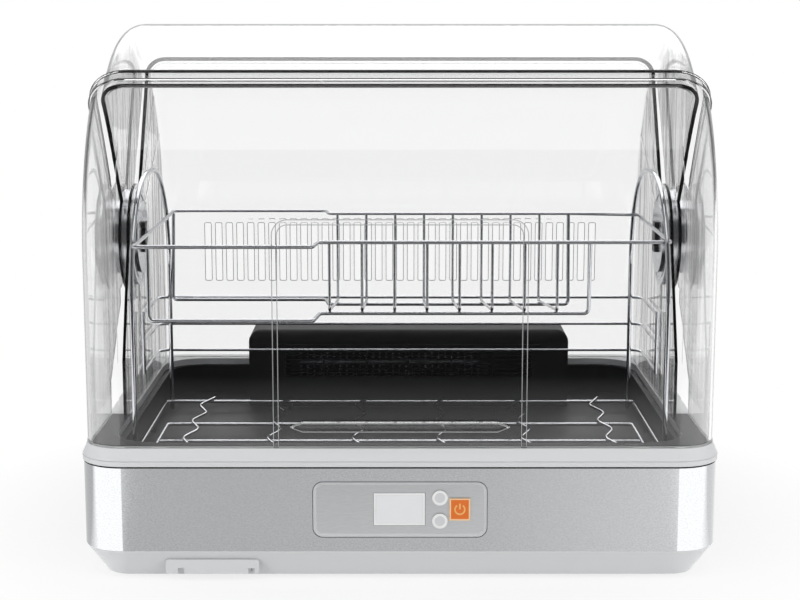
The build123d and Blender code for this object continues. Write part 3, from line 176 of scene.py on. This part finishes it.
# Lamps: places and sizes in metres, powers in watts; the strips' places are those of the right one
KEY_PLACE = (0.0, -0.5, 1.7)
KEY_AIM = (0.0, 0.0, 0.2)
KEY_SIZE = (1.6, 1.2)
KEY_POWER = 10.0
STRIP_PLACE = (1.1, -0.9, 0.5)
STRIP_AIM = (0.2, -0.1, 0.1)
STRIP_SIZE = (0.35, 1.2)
STRIP_POWER = 5.0

# Sockets of a Mix node that mixes colours
MIX_FACTOR = 0
MIX_FIRST = 6
MIX_SECOND = 7
MIX_RESULT = 2


# Materials
def new_material(name, colour, roughness, metallic=0.0, specular=0.5):
    """A Principled material and handles to its node tree and shader."""
    material = bpy.data.materials.new(name)
    material.use_nodes = True
    tree = material.node_tree
    shader = tree.nodes["Principled BSDF"]
    shader.inputs["Base Color"].default_value = (*colour, 1.0)
    shader.inputs["Roughness"].default_value = roughness
    shader.inputs["Metallic"].default_value = metallic
    shader.inputs["Specular IOR Level"].default_value = specular
    return material, tree, shader


def add_noise(tree, scale, stretch=(1.0, 1.0, 1.0), detail=3.0):
    """Noise in the object's own space, drawn out along an axis where the stretch is below 1."""
    place = tree.nodes.new("ShaderNodeTexCoord")
    mapping = tree.nodes.new("ShaderNodeMapping")
    mapping.inputs["Scale"].default_value = stretch
    noise = tree.nodes.new("ShaderNodeTexNoise")
    noise.inputs["Scale"].default_value = scale
    noise.inputs["Detail"].default_value = detail
    tree.links.new(place.outputs["Object"], mapping.inputs["Vector"])
    tree.links.new(mapping.outputs["Vector"], noise.inputs["Vector"])
    return noise


def span(tree, value, low, high, to_low, to_high):
    """A value carried from one range to another and held at the ends."""
    node = tree.nodes.new("ShaderNodeMapRange")
    node.inputs["From Min"].default_value = low
    node.inputs["From Max"].default_value = high
    node.inputs["To Min"].default_value = to_low
    node.inputs["To Max"].default_value = to_high
    tree.links.new(value, node.inputs["Value"])
    return node.outputs["Result"]


def grey_ramp(tree, value, stops):
    """Grey ramp from (position, level) stops."""
    ramp = tree.nodes.new("ShaderNodeValToRGB")
    elements = ramp.color_ramp.elements
    while len(elements) < len(stops):
        elements.new(0.5)
    for element, (position, level) in zip(elements, stops):
        element.position = position
        element.color = (level, level, level, 1.0)
    tree.links.new(value, ramp.inputs["Fac"])
    return ramp.outputs["Color"]


def vary_roughness(tree, shader, noise, roughness, spread):
    """Roughness that strays with the noise by a spread below and above."""
    below, above = spread
    strayed = span(tree, noise.outputs["Fac"], 0.0, 1.0, roughness + below, roughness + above)
    tree.links.new(strayed, shader.inputs["Roughness"])


def vary_colour(tree, shader, noise, dark, light, low=0.3, high=0.7):
    """Colour that goes from dark to light with the noise."""
    ramp = tree.nodes.new("ShaderNodeValToRGB")
    ramp.color_ramp.elements[0].position = low
    ramp.color_ramp.elements[0].color = (*dark, 1.0)
    ramp.color_ramp.elements[1].position = high
    ramp.color_ramp.elements[1].color = (*light, 1.0)
    tree.links.new(noise.outputs["Fac"], ramp.inputs["Fac"])
    tree.links.new(ramp.outputs["Color"], shader.inputs["Base Color"])


def add_bump(tree, shader, noise, strength, distance):
    """Small bumps from the noise."""
    bump = tree.nodes.new("ShaderNodeBump")
    bump.inputs["Strength"].default_value = strength
    bump.inputs["Distance"].default_value = distance
    tree.links.new(noise.outputs["Fac"], bump.inputs["Height"])
    tree.links.new(bump.outputs["Normal"], shader.inputs["Normal"])


def plastic(name, colour, roughness, grain=900.0, strength=0.04, distance=0.0002, specular=0.5):
    """Moulded plastic with a fine grain."""
    material, tree, shader = new_material(name, colour, roughness, specular=specular)
    noise = add_noise(tree, grain)
    vary_roughness(tree, shader, noise, roughness, PLASTIC_SPREAD)
    add_bump(tree, shader, noise, strength, distance)
    return material


def brushed(name, dark, light, roughness, stretch, metallic=1.0, grain=700.0):
    """Metal with a fine grain, drawn out along the stretched axis."""
    material, tree, shader = new_material(name, light, roughness, metallic)
    lines = add_noise(tree, grain, stretch, METAL_DETAIL)
    vary_colour(tree, shader, lines, dark, light)
    vary_roughness(tree, shader, lines, roughness, METAL_SPREAD)
    add_bump(tree, shader, lines, METAL_BUMP, METAL_BUMP_DEPTH)
    return material


def chrome(name, colour, roughness):
    """Plated metal with faint changes of gloss."""
    material, tree, shader = new_material(name, colour, roughness, 1.0)
    noise = add_noise(tree, CHROME_GRAIN)
    vary_roughness(tree, shader, noise, roughness, CHROME_SPREAD)
    return material


def clear(name, bending, depth):
    """Clear moulding, with painted shade and painted streaks of shade where a wall is seen along its
    length.
    """
    material, tree, shader = new_material(name, CLEAR_TINT, 0.0, specular=0.2)
    shader.inputs["Transmission Weight"].default_value = 1.0
    shader.inputs["IOR"].default_value = bending
    # Painted shade: the colour darkens where a wall is seen at a grazing angle, with painted streaks of
    # shade there
    weight = tree.nodes.new("ShaderNodeLayerWeight")
    weight.inputs["Blend"].default_value = 0.5
    facing = weight.outputs["Facing"]
    shade = grey_ramp(tree, facing, CLEAR_SHADE)
    streaks = add_noise(tree, STREAK_GRAIN, STREAK_STRETCH, STREAK_DETAIL)
    painted_streaks = grey_ramp(tree, streaks.outputs["Fac"], STREAK_SHADE)
    along = tree.nodes.new("ShaderNodeMix")
    along.data_type = "RGBA"
    along.blend_type = "MULTIPLY"
    tree.links.new(span(tree, facing, *STREAK_FACING, 0.0, 1.0), along.inputs[MIX_FACTOR])
    tree.links.new(shade, along.inputs[MIX_FIRST])
    tree.links.new(painted_streaks, along.inputs[MIX_SECOND])
    tree.links.new(along.outputs[MIX_RESULT], shader.inputs["Base Color"])
    absorb = tree.nodes.new("ShaderNodeVolumeAbsorption")
    absorb.inputs["Color"].default_value = CLEAR_DEPTH_TINT
    absorb.inputs["Density"].default_value = depth
    tree.links.new(absorb.outputs["Volume"], tree.nodes["Material Output"].inputs["Volume"])
    return material


WHITE = plastic("white_plastic", (0.74, 0.75, 0.76), 0.34)
WHITE_BUTTON = plastic("white_button", (0.93, 0.93, 0.93), 0.30)
BUTTON_CENTRE = plastic("button_centre", (0.70, 0.71, 0.72), 0.35)
ORANGE = plastic("orange_plastic", (0.82, 0.18, 0.018), 0.34)
PALE_ORANGE = plastic("pale_orange_print", (0.95, 0.52, 0.17), 0.40)
PEACH = plastic("peach_print", (0.97, 0.66, 0.38), 0.40)
CHARCOAL = plastic(
    "charcoal_plastic",
    (0.016, 0.016, 0.018),
    0.50,
    grain=500.0,
    strength=0.05,
    distance=0.0003,
    specular=0.12,
)
BLACK = plastic("black_plastic", (0.012, 0.012, 0.013), 0.38)
RUBBER = plastic(
    "rubber",
    (0.012, 0.012, 0.012),
    0.75,
    grain=1200.0,
    strength=0.10,
    distance=0.0003,
    specular=0.2,
)
# Painted shade: dark grey for lines at clear edges that look dark
PAINTED_EDGE_SHADE = plastic("painted_edge_shade", (0.10, 0.102, 0.105), 0.45)
# Painted shade and highlight: mid grey for lines at clear edges, dark against white and light against
# the dark tray
PAINTED_SHADE_AND_HIGHLIGHT = plastic("painted_shade_and_highlight", (0.40, 0.405, 0.41), 0.40)
BEVEL = plastic("panel_bevel", (0.64, 0.65, 0.66), 0.35)
SCREEN = plastic("screen", (0.86, 0.87, 0.885), 0.18, grain=1500.0, strength=0.01)
BOARD = plastic("board_green", (0.02, 0.14, 0.06), 0.45)
STEEL_BAND = brushed(
    "steel_band", (0.46, 0.47, 0.48), (0.55, 0.56, 0.57), 0.11, (0.6, 1.0, 1.0), grain=1100.0
)
PANEL_SILVER = brushed(
    "panel_silver",
    (0.66, 0.67, 0.68),
    (0.73, 0.74, 0.75),
    0.42,
    (0.10, 1.0, 1.0),
    metallic=0.85,
    grain=1800.0,
)
STEEL = brushed("turned_steel", (0.50, 0.51, 0.53), (0.62, 0.63, 0.65), 0.25, (0.2, 1.0, 1.0))
ZINC = plastic("motor_zinc", (0.25, 0.26, 0.28), 0.45)
ALUMINIUM = brushed("aluminium", (0.62, 0.63, 0.65), (0.74, 0.75, 0.77), 0.35, (1.0, 0.1, 1.0))
CHROME_WIRE = chrome("chrome_wire", (0.52, 0.53, 0.55), 0.10)
CHROME_TRIM = chrome("chrome_trim", (0.64, 0.65, 0.67), 0.24)
CLEAR = clear("clear_plastic", 1.47, 20.0)
CLEAR_REAR = clear("clear_rear", 1.30, 2.0)
CLEAR_HANDLE = clear("clear_handle", 1.47, 4.0)

# Look of each node; one without an entry is a chrome wire
looks = {
    "rubber_feet": RUBBER,
    "base_pan": WHITE,
    "steel_band": STEEL_BAND,
    "top_rim": WHITE,
    "drip_tray": CHARCOAL,
    "blower_housing": CHARCOAL,
    "outlet_grille": CHARCOAL,
    "fan_rotor": BLACK,
    "fan_shaft": STEEL,
    "fan_bearing": BLACK,
    "fan_motor": ZINC,
    "motor_cradle": BLACK,
    "fan_scroll": BLACK,
    "heater_core": ALUMINIUM,
    "heater_frame": BLACK,
    "thermostat": STEEL,
    "control_panel": PANEL_SILVER,
    "display_frame": WHITE_BUTTON,
    "display_screen": SCREEN,
    "mode_button": WHITE_BUTTON,
    "timer_button": WHITE_BUTTON,
    "power_button": ORANGE,
    "control_board": BOARD,
    "button_switches": BLACK,
    "panel_screws": STEEL,
    "power_board": BOARD,
    "power_components": BLACK,
    "board_screws": STEEL,
    "cord_gland": BLACK,
    "gland_nut": BLACK,
    "drip_drawer": WHITE,
    "front_lid": CLEAR,
    "lid_handle": CLEAR_HANDLE,
    "top_hood": CLEAR,
    "rear_cover": CLEAR_REAR,
    # edge_seals: black rubber strips under the rim and along the hood's edges; they also stand as
    # painted shade for the shadow in these gaps
    "edge_seals": RUBBER,
    "hub_spacers": CHROME_TRIM,
    "rack_feet": CHARCOAL,
}
for side in ("right", "left"):
    looks[f"{side}_hub_disc"] = CHROME_TRIM
    looks[f"{side}_hub_ring"] = CHROME_TRIM
    looks[f"{side}_hub_pin"] = STEEL
    looks[f"{side}_hub_knob"] = BLACK
    looks[f"{side}_hub_cap"] = CHROME_TRIM
for name, node in nodes.items():
    node.data.materials.clear()
    node.data.materials.append(looks.get(name, CHROME_WIRE))


# Stage: world, floor and lamps
def feed(tree, entry, value):
    """Gives an input a number or links a socket to it."""
    if isinstance(value, float):
        entry.default_value = value
    else:
        tree.links.new(value, entry)


def maths(tree, operation, first, second):
    """One calculation with two values, each a socket or a number."""
    node = tree.nodes.new("ShaderNodeMath")
    node.operation = operation
    feed(tree, node.inputs[0], first)
    feed(tree, node.inputs[1], second)
    return node.outputs[0]


def split_axes(tree, vector):
    """The three parts of a vector."""
    split = tree.nodes.new("ShaderNodeSeparateXYZ")
    tree.links.new(vector, split.inputs[0])
    return split.outputs["X"], split.outputs["Y"], split.outputs["Z"]


def white_light(tree, kind, level):
    """White shader that shines at a level, a socket or a number."""
    node = tree.nodes.new(kind)
    node.inputs["Color"].default_value = (1.0, 1.0, 1.0, 1.0)
    feed(tree, node.inputs["Strength"], level)
    return node.outputs[0]


def background(tree, level):
    """Shining world."""
    return white_light(tree, "ShaderNodeBackground", level)


def glow(tree, level):
    """Shining surface."""
    return white_light(tree, "ShaderNodeEmission", level)


def mix_shaders(tree, factor, first, second):
    """Two shaders mixed by a factor."""
    mix = tree.nodes.new("ShaderNodeMixShader")
    tree.links.new(factor, mix.inputs[0])
    tree.links.new(first, mix.inputs[1])
    tree.links.new(second, mix.inputs[2])
    return mix.outputs[0]


def make_world():
    """White studio with levels of its own for light, clear walls and reflections."""
    world = bpy.data.worlds.new("studio")
    scene.world = world
    world.use_nodes = True
    tree = world.node_tree
    tree.nodes.clear()
    output = tree.nodes.new("ShaderNodeOutputWorld")
    path = tree.nodes.new("ShaderNodeLightPath")
    direction = tree.nodes.new("ShaderNodeTexCoord")
    x, y, z = split_axes(tree, direction.outputs["Generated"])
    height = span(tree, z, -1.0, 1.0, 0.0, 1.0)

    # Clear walls show white round about and a darker room overhead
    overhead = grey_ramp(tree, height, OVERHEAD_LEVELS)
    through = background(tree, maths(tree, "MULTIPLY", overhead, THROUGH_LEVEL))

    # Reflections: white behind, paler at the sides, a darker room in front
    sideways = maths(tree, "ABSOLUTE", x, 0.0)
    to_rear = span(tree, y, *BEHIND_Y, 0.0, 1.0)
    behind = maths(tree, "MULTIPLY", to_rear, span(tree, z, *BEHIND_Z, *BEHIND_LEVELS))
    behind = maths(tree, "MULTIPLY", behind, span(tree, sideways, *BEHIND_SIDES, 1.0, 0.0))
    beside = span(tree, sideways, *BESIDE_SIDES, 0.0, BESIDE_LEVEL)
    before = grey_ramp(tree, height, BEFORE_LEVELS)
    brightest = maths(tree, "MAXIMUM", maths(tree, "MAXIMUM", behind, beside), before)
    mirrored = background(tree, brightest)

    reflected = maths(tree, "GREATER_THAN", path.outputs["Glossy Depth"], HALF_BOUNCE)
    unlit = maths(tree, "LESS_THAN", path.outputs["Diffuse Depth"], HALF_BOUNCE)
    looked_through = maths(tree, "MULTIPLY", path.outputs["Is Transmission Ray"], unlit)
    straight = mix_shaders(tree, looked_through, background(tree, WORLD_LIGHT), through)
    around = mix_shaders(tree, reflected, straight, mirrored)
    whole = mix_shaders(tree, path.outputs["Is Camera Ray"], around, background(tree, 1.0))
    tree.links.new(whole, output.inputs["Surface"])


def floor_paper():
    """White paper that fades out away from the object, with cards that only reflections show."""
    material = bpy.data.materials.new("floor_paper")
    material.use_nodes = True
    tree = material.node_tree
    tree.nodes.clear()
    output = tree.nodes.new("ShaderNodeOutputMaterial")
    path = tree.nodes.new("ShaderNodeLightPath")
    place = tree.nodes.new("ShaderNodeTexCoord")
    diffuse = tree.nodes.new("ShaderNodeBsdfDiffuse")
    diffuse.inputs["Color"].default_value = PAPER
    paper = diffuse.outputs[0]

    # The camera sees plain white away from the object, also through clear walls
    bounces = maths(tree, "ADD", path.outputs["Glossy Depth"], path.outputs["Diffuse Depth"])
    direct = maths(tree, "LESS_THAN", bounces, HALF_BOUNCE)
    looked_through = maths(tree, "MULTIPLY", path.outputs["Is Transmission Ray"], direct)
    white = glow(tree, span(tree, looked_through, 0.0, 1.0, 1.0, THROUGH_LEVEL))
    distance = tree.nodes.new("ShaderNodeVectorMath")
    distance.operation = "LENGTH"
    tree.links.new(place.outputs["Object"], distance.inputs[0])
    fade = span(tree, distance.outputs["Value"], *FADE_REACH, *FADE_SHARES)
    shown = mix_shaders(tree, fade, paper, white)
    seen = maths(tree, "MAXIMUM", path.outputs["Is Camera Ray"], looked_through)

    # Reflections show a bright card on each side, whose inner edge slants outward to the front
    x, y = split_axes(tree, place.outputs["Object"])[:2]
    edge_x = span(tree, y, *CARD_EDGE_Y, *CARD_EDGE_X)
    past_edge = maths(tree, "SUBTRACT", maths(tree, "ABSOLUTE", x, 0.0), edge_x)
    outside = span(tree, past_edge, *CARD_EDGE_SOFT, 0.0, 1.0)
    to_side = maths(tree, "MULTIPLY", outside, span(tree, y, *SIDE_CARD_Y, 0.0, 1.0))
    side_card = glow(tree, SIDE_CARD_LEVEL)

    # The card in front brightens to the right, and far in front the room is dark
    across = maths(tree, "DIVIDE", x, edge_x)
    left_level = span(tree, across, *FRONT_CARD_LEFT, *FRONT_CARD_LEVELS)
    right_gain = span(tree, across, *FRONT_CARD_RIGHT, 0.0, FRONT_CARD_GAIN)
    front_card = glow(tree, maths(tree, "ADD", left_level, right_gain))
    to_front = span(tree, y, *DARK_ROOM_Y, 0.0, 1.0)
    cards = mix_shaders(tree, to_side, front_card, side_card)
    mirrored = mix_shaders(tree, to_front, cards, glow(tree, DARK_ROOM_LEVEL))

    reflected = maths(tree, "GREATER_THAN", path.outputs["Glossy Depth"], HALF_BOUNCE)
    unseen = mix_shaders(tree, reflected, paper, mirrored)
    tree.links.new(mix_shaders(tree, seen, unseen, shown), output.inputs["Surface"])
    return material


make_world()
bpy.ops.mesh.primitive_plane_add(size=FLOOR_SIZE, location=(0.0, 0.0, 0.0))
floor = bpy.context.object
floor.name = "floor"
floor.data.materials.append(floor_paper())


def softbox(name, place, aim, size, power):
    """Rectangular lamp that reflections don't show."""
    light = bpy.data.lights.new(name, "AREA")
    light.shape = "RECTANGLE"
    light.size, light.size_y = size
    light.energy = power
    lamp = bpy.data.objects.new(name, light)
    lamp.location = place
    lamp.rotation_euler = (Vector(aim) - Vector(place)).to_track_quat("-Z", "Y").to_euler()
    lamp.visible_glossy = False
    scene.collection.objects.link(lamp)
    return lamp


softbox("key_above", KEY_PLACE, KEY_AIM, KEY_SIZE, KEY_POWER)
for name, side in (("strip_left", -1.0), ("strip_right", 1.0)):
    flip = Vector((side, 1.0, 1.0))
    strip = softbox(name, flip * Vector(STRIP_PLACE), flip * Vector(STRIP_AIM), STRIP_SIZE, STRIP_POWER)
    strip.visible_transmission = False

# Camera
lens = bpy.data.cameras.new("camera")
lens.sensor_width = SENSOR
lens.sensor_fit = "HORIZONTAL"
lens.lens = FOCAL_PIXELS * SENSOR / IMAGE_WIDTH
lens.clip_start = CAMERA_NEAR
camera = bpy.data.objects.new("camera", lens)
camera.location = CAMERA_PLACE
camera.rotation_euler = (math.radians(90.0 - CAMERA_PITCH), 0.0, 0.0)
scene.collection.objects.link(camera)
scene.camera = camera
scene.view_settings.view_transform = "Standard"


# Fine details
def add_piece(name, data, material, body):
    """New piece on a body, in a material slot of the part."""
    piece = bpy.data.objects.new(name, data)
    scene.collection.objects.link(piece)
    data.materials.append(material)
    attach(piece, body)


def mesh_piece(name, vertices, faces, material, body):
    """New piece from vertices and faces."""
    mesh = bpy.data.meshes.new(name)
    mesh.from_pydata(vertices, [], faces)
    mesh.update()
    add_piece(name, mesh, material, body)


def line_piece(name, paths, radius, material, body, closed):
    """Fine round lines along rows of points."""
    curve = bpy.data.curves.new(name, "CURVE")
    curve.dimensions = "3D"
    curve.bevel_depth = radius
    curve.bevel_resolution = 1
    for points in paths:
        spline = curve.splines.new("POLY")
        spline.points.add(len(points) - 1)
        for point, place in zip(spline.points, points):
            point.co = (*place, 1.0)
        spline.use_cyclic_u = closed
    add_piece(name, curve, material, body)


def quads(first, second, closed):
    """Four-sided faces between two rows of points or of vertex numbers."""
    count = len(first)
    faces = []
    for step in range(count if closed else count - 1):
        following = (step + 1) % count
        faces.append((first[step], first[following], second[following], second[step]))
    return faces


def flat_piece(name, outlines, y, thickness, material, body):
    """Thin raised print facing -Y, from outlines in X and Z."""
    vertices = []
    faces = []
    for outline in outlines:
        start = len(vertices)
        count = len(outline)
        vertices += [(x, y, z) for x, z in outline]
        vertices += [(x, y - thickness, z) for x, z in outline]
        back = range(start, start + count)
        front = range(start + count, start + 2 * count)
        faces.append(tuple(front))
        faces += quads(back, front, closed=True)
    mesh_piece(name, vertices, faces, material, body)


def arc(x, z, radius, start, end, steps):
    """Points along an arc in a plane, angles in degrees."""
    points = []
    for step in range(steps + 1):
        angle = math.radians(start + (end - start) * step / steps)
        points.append((x + radius * math.cos(angle), z + radius * math.sin(angle)))
    return points


def circle(x, z, radius):
    """Points round a circle."""
    step = 360 / CIRCLE_POINTS
    return arc(x, z, radius, 0, 360 - step, CIRCLE_POINTS - 1)


def arch(half, foot, top, corner, steps):
    """Points up one side, over a top with round corners and down the other side."""
    points = [(-half, foot)]
    points += arc(corner - half, top - corner, corner, 180, 90, steps)
    points += arc(half - corner, top - corner, corner, 90, 0, steps)
    points.append((half, foot))
    return points


def rectangle(low, high, inset):
    """Corners in X and Z of a box's front, drawn in by an inset."""
    left, right = low[0] + inset, high[0] - inset
    bottom, top = low[2] + inset, high[2] - inset
    return [(left, bottom), (right, bottom), (right, top), (left, top)]


def rounded_outline(x, z, width, height, corner, steps):
    """Points in X and Z round a rectangle with round corners."""
    across = width / 2 - corner
    up = height / 2 - corner
    points = []
    for number, (side, level) in enumerate(((1, 1), (-1, 1), (-1, -1), (1, -1))):
        points += arc(x + side * across, z + level * up, corner, 90 * number, 90 * number + 90, steps)
    return points


def lid_front(z, lift):
    """Y of the lid's front face at a height, moved out by a lift."""
    return -math.sqrt((LID_RADIUS + lift) ** 2 - max(z - HUB_Z, 0.0) ** 2)


def lid_line(growth, degrees):
    """Path over the lid from side to side, grown by a length, in a plane through the pivot axis."""
    angle = math.radians(degrees)
    half = LID_HALF + growth
    radius = LID_RADIUS + growth
    outline = arch(half, LID_LINE_START, radius, LID_CORNER + growth, CORNER_STEPS)
    return [(x, -reach * math.cos(angle), HUB_Z + reach * math.sin(angle)) for x, reach in outline]


# Painted shade: dark lines along the lid's upper rim, where the edges and the gap to the hood look dark
lid_paths = [
    lid_line(LID_BEAD, LID_EDGE_DEG),
    lid_line(LID_BEAD, LID_EDGE_DEG - LID_BEAD_DEG),
    lid_line(-LID_WALL, LID_EDGE_DEG),
]
line_piece("lid_edges", lid_paths, RIM_LINE_RADIUS, PAINTED_EDGE_SHADE, "lid", closed=False)

# Painted shade and highlight: a pale grey line along the lower edge of the lid, from hub to hub round
# the front
hem_z = LID_FLOOR_Z + HEM_LIFT
side_edge = arc(0.0, HUB_Z, LID_BOSS, 180 - LID_EDGE_DEG, -90, BOSS_STEPS)
side_edge += [(0.0, LID_BOSS_FOOT), LID_KNEE, (LID_HEEL_Y, hem_z)]
hem = [(LID_HALF, y, z) for y, z in side_edge]
front_corner = arc(LID_HALF - LID_CORNER, LID_CORNER - LID_RADIUS, LID_CORNER, 0, -90, CORNER_STEPS)
hem += [(x, y, hem_z) for x, y in front_corner]
hem += [(-x, y, z) for x, y, z in reversed(hem)]
line_piece("lid_hem", [hem], HEM_LINE_RADIUS, PAINTED_SHADE_AND_HIGHLIGHT, "lid", closed=False)

# Painted shade and highlight: pale grey lines along the edges of the raised outline on the lid
emboss_foot = LID_FLOOR_Z + EMBOSS_LIFT
emboss_paths = []
for inset in (EMBOSS_INSET, EMBOSS_WIDTH - EMBOSS_INSET):
    half = EMBOSS_HALF - inset
    outline = [(-half, emboss_foot)]
    outline += arch(half, HUB_Z, EMBOSS_TOP - inset, EMBOSS_CORNER - inset, EMBOSS_STEPS)
    outline.append((half, emboss_foot))
    emboss_paths.append([(x, lid_front(z, EMBOSS_RISE), z) for x, z in outline])
line_piece(
    "emboss_edges", emboss_paths, EMBOSS_LINE_RADIUS, PAINTED_SHADE_AND_HIGHLIGHT, "lid", closed=False
)

# Painted shade and highlight: pale grey lines round the edges of the handle, which comes to a point at
# each end
low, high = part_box("lid_handle")
handle_y = low[1] + HANDLE_ROUND
left, right = low[0] + 2 * HANDLE_ROUND, high[0] - 2 * HANDLE_ROUND
bottom, top = low[2] + HANDLE_ROUND, high[2] - HANDLE_ROUND
middle = (bottom + top) / 2
handle_outline = [
    (left, middle),
    (left + HANDLE_TIP, top),
    (right - HANDLE_TIP, top),
    (right, middle),
    (right - HANDLE_TIP, bottom),
    (left + HANDLE_TIP, bottom),
]
handle_path = [(x, handle_y, z) for x, z in handle_outline]
line_piece(
    "handle_edges", [handle_path], HANDLE_LINE_RADIUS, PAINTED_SHADE_AND_HIGHLIGHT, "lid", closed=True
)

# Painted shade: dark outlines round the rear vents
vent_paths = []
for number in range(VENT_COUNT):
    vent_x = (number - (VENT_COUNT - 1) / 2) * VENT_PITCH
    outline = rounded_outline(vent_x, VENT_Z, VENT_WIDTH, VENT_HEIGHT, VENT_CORNER, VENT_STEPS)
    vent_paths.append([(x, COVER_INNER_Y, z) for x, z in outline])
line_piece("vent_edges", vent_paths, VENT_LINE_RADIUS, PAINTED_EDGE_SHADE, "dryer", closed=True)

# Dark sheet on the rim's top, from the well out to the lid: an arch laid flat, its top to the front
well_arch = arch(WELL_HALF, -LIP_REAR, -WELL_FRONT, WELL_CORNER, CORNER_STEPS)
lip_arch = arch(LIP_HALF, -LIP_REAR, -LIP_FRONT, LIP_CORNER, CORNER_STEPS)
vertices = []
for outline, z in ((well_arch, LIP_TOP), (lip_arch, LIP_TOP), (lip_arch, RIM_TOP), (well_arch, RIM_TOP)):
    vertices += [(x, -reach, z) for x, reach in outline]
count = len(well_arch)
rows = [range(start, start + count) for start in range(0, len(vertices), count)]
faces = [[row[0] for row in reversed(rows)], [row[-1] for row in rows]]
for row, following in zip(rows, rows[1:] + rows[:1]):
    faces += quads(following, row, closed=False)
mesh_piece("dark_rim_sheet", vertices, faces, CHARCOAL, "dryer")

# Sloping border of the control panel, from the band's opening in to the plate
band_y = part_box("steel_band")[0][1]
low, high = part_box("control_panel")
plate_y = low[1] - PANEL_LIFT
panel_z = (low[2] + high[2]) / 2
vertices = []
for inset, y in ((PANEL_SEAT, band_y), (PANEL_BEVEL, plate_y)):
    width = PANEL_WIDTH - 2 * inset
    height = PANEL_HEIGHT - 2 * inset
    outline = rounded_outline(0.0, panel_z, width, height, PANEL_CORNER - inset, PANEL_STEPS)
    vertices += [(x, y, z) for x, z in outline]
count = len(outline)
faces = quads(range(count), range(count, 2 * count), closed=True)
mesh_piece("panel_border", vertices, faces, BEVEL, "dryer")

# White rings and pale centres of the round buttons
for button, body in (("mode_button", "mode_key"), ("timer_button", "timer_key")):
    low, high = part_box(button)
    width = high[0] - low[0]
    centre_x = (low[0] + high[0]) / 2
    centre_z = (low[2] + high[2]) / 2
    ring = circle(centre_x, centre_z, width * RING_SHARE)
    ring_y = low[1]
    flat_piece(button + "_ring", [ring], ring_y, PRINT_RISE, WHITE_BUTTON, body)
    disc = circle(centre_x, centre_z, width * CENTRE_SHARE)
    disc_y = ring_y - PRINT_RISE
    flat_piece(button + "_centre", [disc], disc_y, CENTRE_RISE, BUTTON_CENTRE, body)

# Power sign on the orange button: an open ring with an upright bar, and a pale line round the edge
low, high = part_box("power_button")
button_x = (low[0] + high[0]) / 2
button_y = low[1]
button_z = (low[2] + high[2]) / 2
inner = arc(button_x, button_z, SIGN_RADIUS - SIGN_HALF_WIDTH, SIGN_START, SIGN_END, SIGN_STEPS)
outer = arc(button_x, button_z, SIGN_RADIUS + SIGN_HALF_WIDTH, SIGN_START, SIGN_END, SIGN_STEPS)
bar_left, bar_right = button_x - SIGN_HALF_WIDTH, button_x + SIGN_HALF_WIDTH
bar_low, bar_high = button_z + SIGN_BAR_LOW, button_z + SIGN_BAR_HIGH
bar = [(bar_left, bar_low), (bar_right, bar_low), (bar_right, bar_high), (bar_left, bar_high)]
sign = quads(inner, outer, closed=False) + [bar]
border_outside = rectangle(low, high, POWER_EDGE)
border_inside = rectangle(low, high, POWER_EDGE + POWER_BORDER)
border = quads(border_outside, border_inside, closed=True)
flat_piece("power_sign", sign, button_y, PRINT_RISE, PALE_ORANGE, "power_key")
flat_piece("power_border", border, button_y, PRINT_RISE, PEACH, "power_key")
